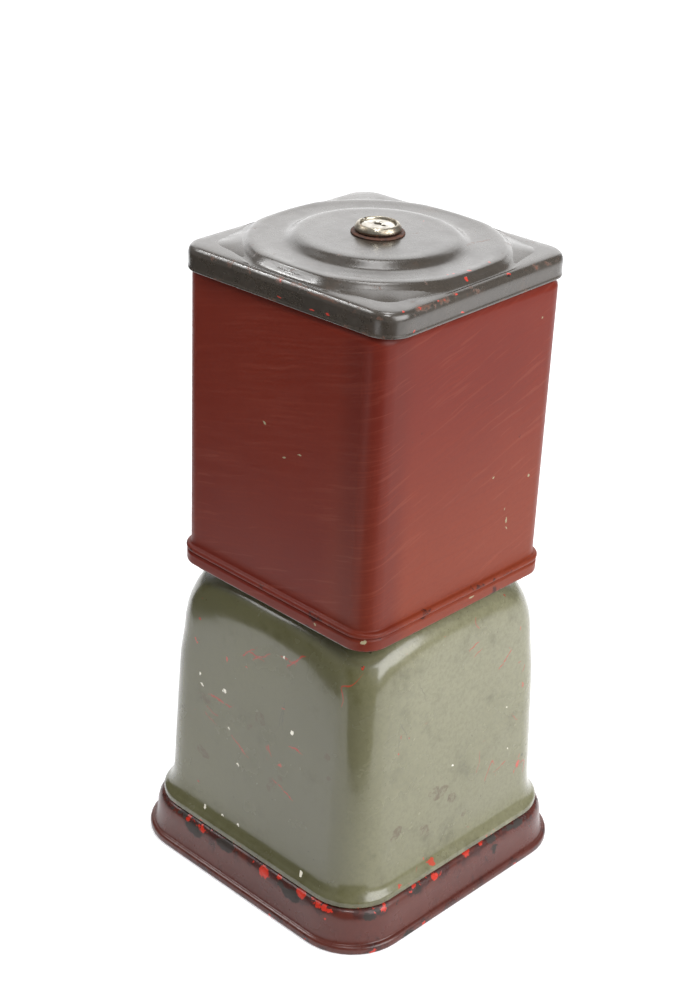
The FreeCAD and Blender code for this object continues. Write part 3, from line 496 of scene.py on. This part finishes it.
CANISTER_CHIPS = scatter(31, ("right", 3, (-40, -15), (205, 240), (2, 5.5), LONG, (60, 120)),
                         ("right", 2, (-65, 65), (245, 270), (1.4, 2.2), ROUNDISH, ANY_WAY),
                         ("left", 3, (-15, 25), (245, 295), (1.8, 4.0), LONG, (-20, 20)),
                         ("right", 1, (-15, 15), (185, 188), (4, 5), LONG, (-5, 5)),
                         ("left", 2, (20, 70), (185, 188), (2, 3), ROUNDISH, ANY_WAY))


def canister_enamel():
    """Red-brown enamel laid on by brush: fine strokes climbing to one side, with painted light making it
    lighter low on +Y, a painted dark reflection down the front corner, and painted highlights along the
    stroke ridges.
    """
    f = Finish("canister_enamel")
    wander = f.noise(16, 3, colour=True)
    strokes = f.noise(1.0, 4, 0.65, f.space((16, 620, 1), "UV", 0.27, wander, 0.007))
    ridges = f.noise(1.0, 2, 0.5, f.space((20, 360, 1), "UV", 0.32, wander, 0.010))
    level = f.noise(1.0, 3, 0.6, f.space((12, 520, 1), "UV", -0.04, wander, 0.006))
    tone = f.mix(f.band(f.noise(8, 3), 0.3, 0.7), linear("5f190c"), linear("681f0e"))
    across, outward, upward = f.axes()
    # Painted light: the lower part of the +Y side is painted a lighter orange.
    painted_light_low_side = f.math("MULTIPLY", f.band(outward, 0.03, 0.065), f.band(upward, 0.33, 0.20))
    tone = f.mix(f.math("MULTIPLY", painted_light_low_side, 0.75), tone, linear("75311a"))
    # Painted reflection: a dark band down the front corner between +X and +Y stands in for dark
    # surroundings seen in the corner; its edge follows the brush strokes.
    streaks = f.band(strokes, 0.3, 0.7, 0, 0.004)
    corner = f.math("ADD", f.math("ADD", across, outward), streaks)
    tone = f.mix(f.band(corner, 0.115, 0.130, 0, 0.65), tone, linear("54160b"))
    tone = f.mix(f.band(strokes, 0.46, 0.74, 0, 0.20), tone, linear("883a26"))
    tone = f.mix(f.band(level, 0.50, 0.78, 0, 0.25), tone, linear("58170c"))
    tone = f.mix(f.band(f.noise(420, 4, 0.75), 0.4, 0.8, 0, 0.30), tone, linear("531a10"))
    nicks = f.math("ADD", f.noise(60, 5, 0.75), f.math("MULTIPLY", f.edge(), 0.17))
    tone = f.mix(f.band(nicks, 0.70, 0.76, 0, 0.85), tone, linear("31130f"))
    # Painted highlight: thin light lines on the tops of the brush-stroke ridges.
    painted_ridge_highlight = f.math("MULTIPLY", f.band(ridges, 0.60, 0.66), f.band(f.noise(13, 3), 0.42, 0.58))
    tone = f.mix(f.math("MULTIPLY", painted_ridge_highlight, 0.10), tone, linear("a05a48"))
    chips = f.union(f.flecks(60, 0.035, 0.06), f.marks(f.ragged(420, 0.0024), CANISTER_CHIPS))
    tone = f.mix(chips, tone, linear("8d8468"))
    f.raise_by(strokes, 0.022)
    f.raise_by(level, 0.014)
    f.raise_by(f.band(ridges, 0.54, 0.70), 0.008)
    f.raise_by(f.noise(6, 2), 1.2)
    rough = f.band(strokes, 0.3, 0.75, 0.34, 0.48)
    return f.done(tone, rough, specular=0.20)


LID_PRIMER = scatter(41, ("top", 5, (-30, 25), (60, 68), (1.4, 3.0), ROUNDISH, ANY_WAY),
                     ("top", 4, (-62, 70), (70, 74), (1.6, 4.0), ROUNDISH, (-10, 10)),
                     ("left", 3, (-65, 73), (356, 363), (2.0, 4.0), LONG, (-10, 10)),
                     ("right", 2, (10, 60), (355, 358), (2.0, 3.0), LONG, (-10, 10)))
LID_RUST = scatter(42, ("top", 4, (71, 75), (0, 62), (10, 14), (0.12, 0.2), (85, 95)),
                   ("top", 2, (-30, 30), (73, 75), (12, 16), (0.1, 0.15), (-4, 4)),
                   ("top", 1, (72, 74), (71, 73), (9, 11), ROUNDISH, (-50, -40)),
                   ("top", 2, (-16, 16), (12, 17), (5, 10), LONG, (-20, 20)),
                   ("top", 2, (-50, 40), (30, 55), (8, 16), (0.1, 0.2), (-60, 60)),
                   ("left", 1, (30, 50), (365, 367), (26, 30), (0.06, 0.08), (0, 1)))
LID_HOLES = scatter(43, ("left", 1, (68, 73), (361, 364), (2.2, 2.8), ROUNDISH, ANY_WAY),
                    ("right", 1, (68, 73), (361, 364), (1.6, 2.4), ROUNDISH, ANY_WAY),
                    ("top", 1, (-30, -20), (70, 72), (3, 4), LONG, (-10, 10)))


def lid_enamel():
    """Dark grey-brown enamel with rust in its creases and red primer at its rim."""
    f = Finish("lid_enamel")
    torn = f.ragged(420, 0.0026)
    tone = f.mix(f.band(f.noise(14, 4), 0.3, 0.7), linear("332d26"), linear("3c352d"))
    tone = f.mix(f.band(f.noise(40, 6, 0.75), 0.55, 0.80, 0, 0.55), tone, linear("544032"))
    tone = f.mix(f.band(f.noise(420, 4, 0.75), 0.4, 0.8, 0, 0.5), tone, linear("211d18"))
    worn = f.math("ADD", f.noise(110, 6, 0.75), f.math("MULTIPLY", f.edge(), 0.15))
    rusted = f.math("MULTIPLY", f.marks(torn, LID_RUST), f.band(f.noise(200, 5, 0.8), 0.42, 0.56))
    rusted = f.union(f.band(worn, 0.69, 0.74, 0, 0.9), rusted)
    tone = f.mix(f.math("MULTIPLY", rusted, 0.85), tone, linear("5c3a28"))
    primer = f.union(f.band(worn, 0.80, 0.81), f.flecks(130, 0.02, 0.12), f.marks(torn, LID_PRIMER))
    tone = f.mix(primer, tone, linear("b52d1c"))
    holes = f.union(f.marks(torn, LID_HOLES), f.flecks(160, 0.06, 0.10))
    tone = f.mix(holes, tone, linear("140f0c"))
    f.raise_by(f.noise(45, 3), 0.25)
    f.raise_by(f.noise(260, 3), 0.03)
    f.raise_by(f.noise(6, 2), 2.2)
    f.raise_by(f.band(worn, 0.66, 0.80), -0.10)
    rough = f.band(f.noise(60, 5, 0.7), 0.35, 0.8, 0.24, 0.40)
    rough = f.math("ADD", rough, f.math("MULTIPLY", rusted, 0.25))
    return f.done(tone, rough, coat=0.45, coat_rough=0.20, specular=0.6)


def metal(name, light, dark, rough_low, rough_high, scale=60, pits=0.0, grain=(1, 1, 1), spot="4a3424"):
    """Bare or plated metal, mottled between two tones, with grain, pits and tarnish."""
    f = Finish(name)
    mottled = f.noise(scale, 5, 0.7)
    tone = f.mix(f.band(mottled, 0.35, 0.70), linear(light), linear(dark))
    lines = f.noise(500, 2, 0.5, f.space(grain))
    if pits:
        spots = f.flecks(scale * 6, pits, 0.25)
        tone = f.mix(spots, tone, linear(spot))
        f.raise_by(spots, -0.05)
    f.raise_by(lines, 0.015)
    f.raise_by(mottled, 0.05)
    rough = f.band(mottled, 0.3, 0.75, rough_low, rough_high)
    return f.done(tone, rough, metallic=f.band(mottled, 0.5, 0.8, 1.0, 0.75))


def rust():
    """Coarse brown rust."""
    f = Finish("rusty_steel")
    grains = f.noise(260, 6, 0.8)
    tone = f.mix(f.band(grains, 0.35, 0.65), linear("2b1c16"), linear("5e3a2a"))
    f.raise_by(grains, 0.25)
    return f.done(tone, f.band(grains, 0.3, 0.7, 0.6, 0.9))


# ---- outer shells ------------------------------------------------------------------------------

def make_plinth(finish):
    """Flared square plinth: rolled bottom edge, cove, rounded shoulder turned in at the top."""
    _, high = box_mm("plinth")
    half, top, corner_radius = high[0], high[2], 35.0
    corner_at = half - corner_radius
    outside = [(0.9, 0.0, 0.5), (0.15, 0.8, 0.9), (0.0, 2.2, 0.8), (0.25, 3.9, 0.5), (1.3, 4.9, 0.25),
               (2.5, 5.3, 0.15), (3.1, 6.4, 0.1), (3.7, 8.5, 0.1), (4.3, 12.0, 0.15), (4.7, 16.0, 0.2),
               (5.1, 19.2, 0.45), (5.9, 21.8, 0.9), (7.2, 23.8, 1.0), (9.0, 24.9, 0.8),
               (11.0, top - 0.05, 0.4), (14.0, top - 0.02, 0.2), (20.0, top - 0.02, 0.1)]
    inside = [(28.0, top - 0.1, 0.1), (28.0, top - 2.0, 0), (12.0, top - 2.4, 0), (8.4, 20.0, 0),
              (7.0, 13.0, 0), (6.0, 7.0, 0), (2.6, 3.0, 0), (2.6, 0.3, 0.1), (1.6, 0.0, 0.2)]
    rows = np.vstack([flow(outside, 3), np.array(inside)])
    angles = square_angles(half, corner_at)
    rings = [(square_reach(angles, half - inset, corner_at), z) for inset, z, _ in rows]
    piece = skin("plinth_skin", angles, rings, "base", ["plinth"], rows[:, 2])
    piece.data.materials.append(finish)
    return piece


def soft_max(a, b, reach):
    """The larger of two values, rounded where they are nearly equal."""
    share = np.maximum(reach - np.abs(a - b), 0) / reach
    return np.maximum(a, b) + share ** 2 * reach / 4


def make_pedestal(finish):
    """Leaning square walls blended into a dome of revolution, on a coved foot."""
    low, high = box_mm("body_shell")
    foot, bottom, deck = high[0], low[2], high[2]
    corner_at = 58.0
    wall_low, wall_high = (foot - 5.9, 41.0), (foot - 10.9, 150.0)
    slope = (wall_high[0] - wall_low[0]) / (wall_high[1] - wall_low[1])
    dome_at, dome_radius = 61.0, 44.0
    angles = square_angles(foot - 8, corner_at, 24, 14)

    def wall(z):
        half = wall_low[0] + slope * (z - wall_low[1])
        return square_reach(angles, half, corner_at)

    def outside(r, z):
        """Negative inside the pedestal, positive outside, near the shoulder."""
        side = r - wall(z)
        away = np.hypot(np.maximum(r - dome_at, 0), np.maximum(z - deck + dome_radius, 0))
        below = np.maximum(deck - dome_radius - z, 0)
        dome = away - dome_radius - 0.45 * below
        return soft_max(side, dome, 13.0)

    cove = [(0.5, 0.0, 1.0), (0.0, 0.7, 1.0), (0.0, 2.6, 0.8), (0.35, 3.8, 0.5), (1.3, 4.9, 0.35),
            (2.7, 6.4, 0.3), (4.0, 8.6, 0.3), (5.0, 11.4, 0.25), (5.6, 14.2, 0.2)]
    rings, edges = [], []
    for inset, z, weight in flow(cove, 4):
        rings.append((square_reach(angles, foot - inset, corner_at), bottom + z))
        edges.append(weight)
    for z in np.linspace(bottom + 18, 108, 12):
        rings.append((wall(np.full(len(angles), z)), z))
        edges.append(0.15)
    centre_z = 108.0
    hole = 57.6
    steep = math.atan2(deck - centre_z, hole)
    for tilt in np.concatenate([np.linspace(0.04, 0.55, 9), np.linspace(0.585, steep, 30)]):
        near, far = np.zeros(len(angles)), np.full(len(angles), 140.0)
        for _ in range(40):
            middle = (near + far) / 2
            inner = outside(middle * math.cos(tilt), centre_z + middle * math.sin(tilt)) < 0
            near, far = np.where(inner, middle, near), np.where(inner, far, middle)
        z = np.minimum(centre_z + near * math.sin(tilt), deck)
        rings.append((near * math.cos(tilt), z))
        edges.append(0.30 if tilt > 0.5 else 0.15)
    inner = [(hole + 0.3, deck - 0.2), (hole + 0.3, deck - 2.0)]
    rings += [(np.full(len(angles), r), z) for r, z in inner]
    within = np.minimum(wall(np.full(len(angles), 150.0)), 80.0)
    rings += [(within - 3.0, 150.0), (wall(np.full(len(angles), 46.0)) - 2.0, 46.0)]
    for inset, z, _ in flow(cove, 2)[::-1]:
        rings.append((square_reach(angles, foot - inset - 1.8, corner_at), bottom + max(z, 0.0)))
    edges += [0.2] * 2 + [0.0] * (2 + len(flow(cove, 2)))
    piece = skin("pedestal_skin", angles, rings, "base", ["body_shell"],
                 np.array(edges))
    outlet_low, outlet_high = box_mm("product_chute")
    before_wall, behind_wall, play = -foot - 10, -60.0, 0.3
    opening_top = 71.3
    window_half, window_low, window_high = 27.9, 97.2, 158.8
    opening = rounded_block((outlet_low[0] - play, before_wall, outlet_low[2] - play),
                            (outlet_high[0] + play, behind_wall, opening_top), 0)
    window = rounded_block((-window_half, before_wall, window_low),
                           (window_half, behind_wall, window_high), 0)
    carve(piece, opening, window)
    piece.data.materials.append(finish)
    return piece


def make_canister(finish):
    """Straight-sided sheet steel box, its walls very slightly crowned, with a rolled foot rim."""
    low, high = box_mm("canister")
    bottom, top, rim = low[2], high[2], high[0] - 0.3
    wall = 71.4
    corner_at = 59.0
    foot = [(rim - 1.5, 0.0, 0.9), (rim - 0.3, 0.7, 1.0), (rim, 2.0, 0.6), (rim, 4.5, 0.3),
            (rim - 0.05, 6.4, 0.5), (rim - 0.8, 7.4, 0.9), (rim - 0.45, 8.0, 0.8), (rim + 0.25, 8.8, 1.0),
            (rim + 0.25, 10.0, 1.0), (rim - 0.6, 10.9, 0.8), (wall + 0.4, 11.5, 0.6), (wall, 12.6, 0.3)]
    rows = [tuple(row) for row in flow(foot, 3)]
    rows += [(wall, z - bottom, 0.0) for z in np.linspace(bottom + 17, 350.5, 26)]
    rows += [(wall - 0.3, 352.4 - bottom, 0.3), (69.2, 354.6 - bottom, 0.3),
             (68.6, 356.0 - bottom, 0.2), (68.6, top - bottom - 0.3, 0.2), (68.2, top - bottom, 0.2),
             (67.5, top - bottom - 0.3, 0.2), (67.4, 356.0 - bottom, 0), (70.1, 352.0 - bottom, 0),
             (70.2, 300.0 - bottom, 0), (70.2, 0.2, 0)]
    angles = square_angles(wall, corner_at, 26, 12)
    fold = np.abs(np.mod(angles + math.pi / 4, math.pi / 2) - math.pi / 4)
    crown = np.clip(1 - (np.tan(fold) * wall / corner_at) ** 2, 0, 1)
    rings = []
    for half, height, _ in rows:
        rise = np.clip((height - 14) / 60, 0, 1) * np.clip((168 - height) / 60, 0, 1)
        inner = 1.0 if half > 70.3 else 0.0
        rings.append((square_reach(angles, half, corner_at) + 0.45 * crown * rise * inner,
                      bottom + height))
    weights = np.array([row[2] for row in rows])
    piece = skin("canister_skin", angles, rings, "canister", ["canister"], weights)
    piece.data.materials.append(finish)
    return piece


def make_lid(finish):
    """Pressed lid: square skirt, flat corners and two round steps, sitting slightly twisted."""
    low, high = box_mm("lid")
    bottom, top = low[2], high[2]
    half, corner_at, edge_z = 73.6, 59.0, 368.4
    twist = math.radians(2.5)
    angles = square_angles(half, corner_at, 30, 12)
    rings, weights = [], []
    for inset, z, weight in flow([(1.0, 0.1, 0.7), (0.35, 0.0, 0.9), (0.0, 0.5, 1.0), (0.05, 1.3, 0.8),
                                  (0.25, 2.2, 0.4), (0.25, 5.0, 0.2), (0.2, 8.2, 0.4), (0.5, 9.9, 0.8),
                                  (1.3, 11.5, 1.0), (2.6, 12.5, 0.9), (4.0, edge_z - bottom, 0.6)], 3):
        rings.append((square_reach(angles, half - inset, corner_at), bottom + z))
        weights.append(weight)
    outer = top - 3.55
    steps = flow([(73.6, edge_z + 0.12, 0.25), (72.4, edge_z + 0.45, 0.3), (71.2, edge_z + 1.1, 0.3),
                  (69.9, edge_z + 2.0, 0.4), (68.5, edge_z + 2.95, 0.5), (66.8, outer + 0.05, 0.5),
                  (64.8, outer + 0.4, 0.4), (62.4, outer + 0.35, 0.2), (58.0, outer + 0.0, 0.15),
                  (53.0, outer - 0.2, 0.15), (50.0, outer - 0.15, 0.2), (48.2, outer + 0.15, 0.3),
                  (46.7, outer + 0.8, 0.35), (45.2, outer + 1.7, 0.35), (43.7, outer + 2.6, 0.4),
                  (42.0, outer + 3.25, 0.45), (40.0, top - 0.05, 0.4), (37.5, top, 0.2),
                  (32.0, top - 0.1, 0.15), (20.0, top - 0.12, 0.15), (13.0, top - 0.05, 0.4),
                  (10.3, top - 0.05, 0.5)], 4)
    reach = square_reach(angles, half - 4.0, corner_at)
    for t in (0.25, 0.5, 0.75):
        fit = reach * (1 - t) + np.minimum(steps[0][0], reach) * t
        rings.append((fit, edge_z + 0.05 + 0.3 * t))
        weights.append(0.3)
    round_to = 60.0
    squeeze = (np.minimum(reach, steps[0][0]) - round_to) / (steps[0][0] - round_to)
    for radius, z, weight in steps:
        rings.append((np.where(radius > round_to, round_to + (radius - round_to) * squeeze, radius), z))
        weights.append(weight)
    for radius, z in ((10.3, top - 1.2), (42.4, top - 1.3), (46.0, edge_z + 2.6), (67.0, edge_z + 2.4)):
        rings.append((np.full(len(angles), radius), z))
        weights.append(0.0)
    rings += [(square_reach(angles, half - 5.0, corner_at), edge_z - 1.3),
              (square_reach(angles, half - 1.45, corner_at), edge_z - 4.0),
              (square_reach(angles, half - 1.3, corner_at), bottom + 0.4)]
    weights += [0.0] * 3
    piece = skin("lid_skin", angles + twist, rings, "lid", ["lid"], np.array(weights))
    piece.data.materials.append(finish)
    return piece


def make_lock(collar_finish, washer_finish, plug_finish):
    """Rusty ring, nickel collar with a notch, and the plug with its keyhole."""
    low, high = box_mm("lock_washer")
    seat, ring_radius = low[2], high[0]
    washer = lathe("lock_washer_ring", [(10.1, seat), (ring_radius - 0.5, seat),
                                        (ring_radius, seat + 0.3), (ring_radius - 0.3, seat + 0.8),
                                        (ring_radius - 1.4, seat + 1.0), (10.1, seat + 1.0)],
                   "lid", ["lock_washer"], 72)
    washer.data.materials.append(washer_finish)
    low, high = box_mm("lock_collar")
    top, radius, foot = high[2], high[0], seat + 1.0
    outline = flow([(radius - 1.6, foot, 0), (radius - 0.5, foot + 0.5, 0), (radius, foot + 1.5, 0),
                    (radius - 0.1, foot + 2.4, 0), (radius - 0.6, foot + 3.3, 0),
                    (radius - 1.3, top - 0.25, 0), (radius - 2.0, top, 0),
                    (radius - 2.6, top - 0.3, 0), (9.35, top - 1.1, 0)], 4)[:, :2]
    profile = [tuple(row) for row in outline] + [(9.26, 366.0), (4.1, 365.8), (4.1, low[2]),
                                                 (10.0, low[2]), (10.0, foot)]
    collar = lathe("lock_collar_ring", profile, "lid", ["lock_collar"], 96)
    carve(collar, rounded_block((-1.2, -14, top - 1.2), (1.2, -8.0, top + 2), 0.3))
    collar.data.materials.append(collar_finish)
    low, high = box_mm("lock_plug")
    face, radius = high[2], high[0]
    plug = lathe("lock_plug_face", [(0.01, face - 0.1), (5.0, face - 0.02), (7.4, face - 0.1),
                                    (8.4, face - 0.3), (radius, face - 0.9), (radius, low[2]),
                                    (0.01, low[2])], "lock_plug", ["lock_plug"], 96)
    key_low, key_high = face - 5, face + 1
    key_hole = drum(1.9, key_low, key_high, (0, -0.4), 32)
    key_slot = rounded_block((-0.8, 0.2, key_low), (0.8, 5.0, key_high), 0)
    carve(plug, key_hole, key_slot)
    plug.data.materials.append(plug_finish)


# ---- mechanism side, from the CAD forms ---------------------------------------------------------

def from_cad(node, body, finish, width):
    """The CAD node's own form with its hard edges broken, for cast and turned pieces."""
    mesh = frame["nodes"][node].data.copy()
    mesh.materials.clear()
    shape = bmesh.new()
    shape.from_mesh(mesh)
    bmesh.ops.remove_doubles(shape, verts=shape.verts, dist=1e-6)
    bmesh.ops.dissolve_limit(shape, angle_limit=math.radians(1.0), verts=shape.verts,
                             edges=shape.edges)
    shape.to_mesh(mesh)
    shape.free()
    piece = adopt(mesh, node + "_finished", body, [node])
    modify(piece, "BEVEL", width=width * MM, segments=3, limit_method="ANGLE",
           angle_limit=math.radians(35), harden_normals=False, use_clamp_overlap=True)
    for polygon in piece.data.polygons:
        polygon.use_smooth = True
    piece.data.set_sharp_from_angle(angle=math.radians(40))
    piece.data.materials.append(finish)
    return piece


# ---- assemble ----------------------------------------------------------------------------------

maroon = maroon_enamel()
green = green_enamel()
red_brown = canister_enamel()
dark_lid = lid_enamel()
nickel = metal("nickel", "c9c4b8", "8f8472", 0.16, 0.42, 90, 0.06)
plug_nickel = metal("plug_nickel", "d6d2c8", "a8a094", 0.22, 0.45, 120, 0.05)
collar_nickel = metal("collar_nickel", "b9b2a2", "6e6252", 0.20, 0.50, 150, 0.30, spot="9c3322")
steel = metal("plain_steel", "9a9894", "6f6a63", 0.30, 0.55, 40, 0.03, (1, 1, 8))
cast = metal("cast_metal", "a9a8a4", "85827c", 0.32, 0.52, 55, 0.04)
brass = metal("brass", "b8965a", "7d6238", 0.25, 0.48, 60, 0.04)
rusty = rust()
SLOT_FINISH = {"maroon_enamel": maroon, "green_enamel": green, "canister_enamel": red_brown,
               "lid_enamel": dark_lid, "nickel": nickel, "plain_steel": steel,
               "rusty_steel": rusty, "cast_metal": cast, "brass": brass}

for entry in frame["record"]["subparts"]:
    mesh = frame["nodes"][entry["node"]].data
    mesh.materials.clear()
    mesh.materials.append(SLOT_FINISH[entry["material_slot"]])

make_plinth(maroon)
make_pedestal(green)
make_canister(red_brown)
make_lid(dark_lid)
make_lock(collar_nickel, rusty, plug_nickel)
for node, body, slot, finish, width in (
        ("coin_faceplate", "base", "cast_metal", cast, 0.8),
        ("coin_handle", "handle", "nickel", nickel, 1.6),
        ("chute_housing", "base", "cast_metal", cast, 0.6),
        ("chute_door", "chute_door", "nickel", nickel, 0.3)):
    from_cad(node, body, finish, width)


# ---- floor, light and camera -------------------------------------------------------------------

def make_floor():
    """A pale floor, wide enough to fill the view."""
    mesh = bpy.data.meshes.new("floor")
    reach = 8.0
    mesh.from_pydata([(-reach, -reach, 0), (reach, -reach, 0), (reach, reach, 0), (-reach, reach, 0)],
                     [], [(0, 1, 2, 3)])
    floor = bpy.data.objects.new("floor", mesh)
    bpy.context.scene.collection.objects.link(floor)
    f = Finish("pale_floor")
    f.shader.inputs["Emission Color"].default_value = (0.97, 0.98, 1.0, 1)
    f.shader.inputs["Emission Strength"].default_value = 0.30
    floor.data.materials.append(f.done(linear("eeeeef"), 0.6, specular=0.2))


def softbox(name, place, width, height, radiance, target=(0, 0, 0.22)):
    """A large rectangular light of even radiance, turned towards a target."""
    light = bpy.data.lights.new(name, "AREA")
    light.shape = "RECTANGLE"
    light.size, light.size_y = width, height
    light.energy = radiance * math.pi * width * height
    lamp = bpy.data.objects.new(name, light)
    lamp.location = place
    lamp.rotation_euler = (Vector(target) - Vector(place)).to_track_quat("-Z", "Y").to_euler()
    lamp.visible_camera = False
    bpy.context.scene.collection.objects.link(lamp)


def make_light():
    """Soft studio lamps round the machine, two for highlights, and two boards in its reflections."""
    world = bpy.data.worlds.new("studio")
    world.use_nodes = True
    background = world.node_tree.nodes["Background"]
    background.inputs[0].default_value = (0.98, 0.985, 1.0, 1)
    background.inputs[1].default_value = 0.30
    bpy.context.scene.world = world
    softbox("key", (-0.25, 1.85, 1.35), 2.0, 1.5, 6.3)
    softbox("left", (0.75, -1.15, 1.5), 0.6, 0.6, 5.6)
    softbox("spark", (0.35, -0.92, 1.48), 0.16, 0.16, 42.0)
    softbox("top", (0.68, 0.50, 2.0), 0.34, 0.34, 24.0)
    softbox("ceiling", (-0.25, -0.25, 2.2), 0.4, 1.0, 8.0)
    softbox("back", (-2.0, -1.9, 1.35), 3.6, 2.6, 1.62)
    make_flag("flag_left", (0.73, -0.68, 0), 0.46, 0.40)
    make_flag("flag_near", (0.70, 0.714, 0), 0.27, 0.12)


def make_flag(name, towards, distance, reach):
    """A dark board seen only in reflections, as studios stand one beside glossy goods."""
    away = Vector(towards)
    side = Vector((-away.y, away.x, 0))
    corners = [away * distance - side * reach, away * distance + side * reach]
    raised = [corner + Vector((0, 0, 0.34)) for corner in reversed(corners)]
    mesh = bpy.data.meshes.new(name)
    mesh.from_pydata(corners + raised, [], [(0, 1, 2, 3)])
    flag = bpy.data.objects.new(name, mesh)
    bpy.context.scene.collection.objects.link(flag)
    flag.visible_camera = False
    flag.visible_diffuse = False
    flag.visible_shadow = False
    flag.data.materials.append(Finish(name + "_board").done(linear("2c2c2c"), 0.9))


def make_camera():
    """A long lens looking down on the corner between +X and +Y, slightly tilted."""
    azimuth, elevation, roll = (math.radians(a) for a in (133.12, 26.68, 2.63))
    distance, focal_pixels, image_height, sensor = 1.0441, 1849.0, 1000.0, 36.0
    back = Vector((math.sin(azimuth) * math.cos(elevation),
                   -math.cos(azimuth) * math.cos(elevation), math.sin(elevation)))
    right = Vector((math.cos(azimuth), math.sin(azimuth), 0))
    up = back.cross(right)
    place = Vector((0, 0, 0.1805)) + back * distance + right * -0.00806 + up * 0.0357
    across = right * math.cos(roll) + up * math.sin(roll)
    upward = up * math.cos(roll) - right * math.sin(roll)
    data = bpy.data.cameras.new("camera")
    data.sensor_width = sensor
    data.lens = focal_pixels * sensor / image_height
    data.clip_start = 0.05
    camera = bpy.data.objects.new("camera", data)
    axes = Matrix((across, upward, back)).transposed().to_4x4()
    camera.matrix_world = Matrix.Translation(place) @ axes
    bpy.context.scene.collection.objects.link(camera)
    bpy.context.scene.camera = camera


make_floor()
make_light()
make_camera()
bpy.context.scene.view_settings.view_transform = "Standard"
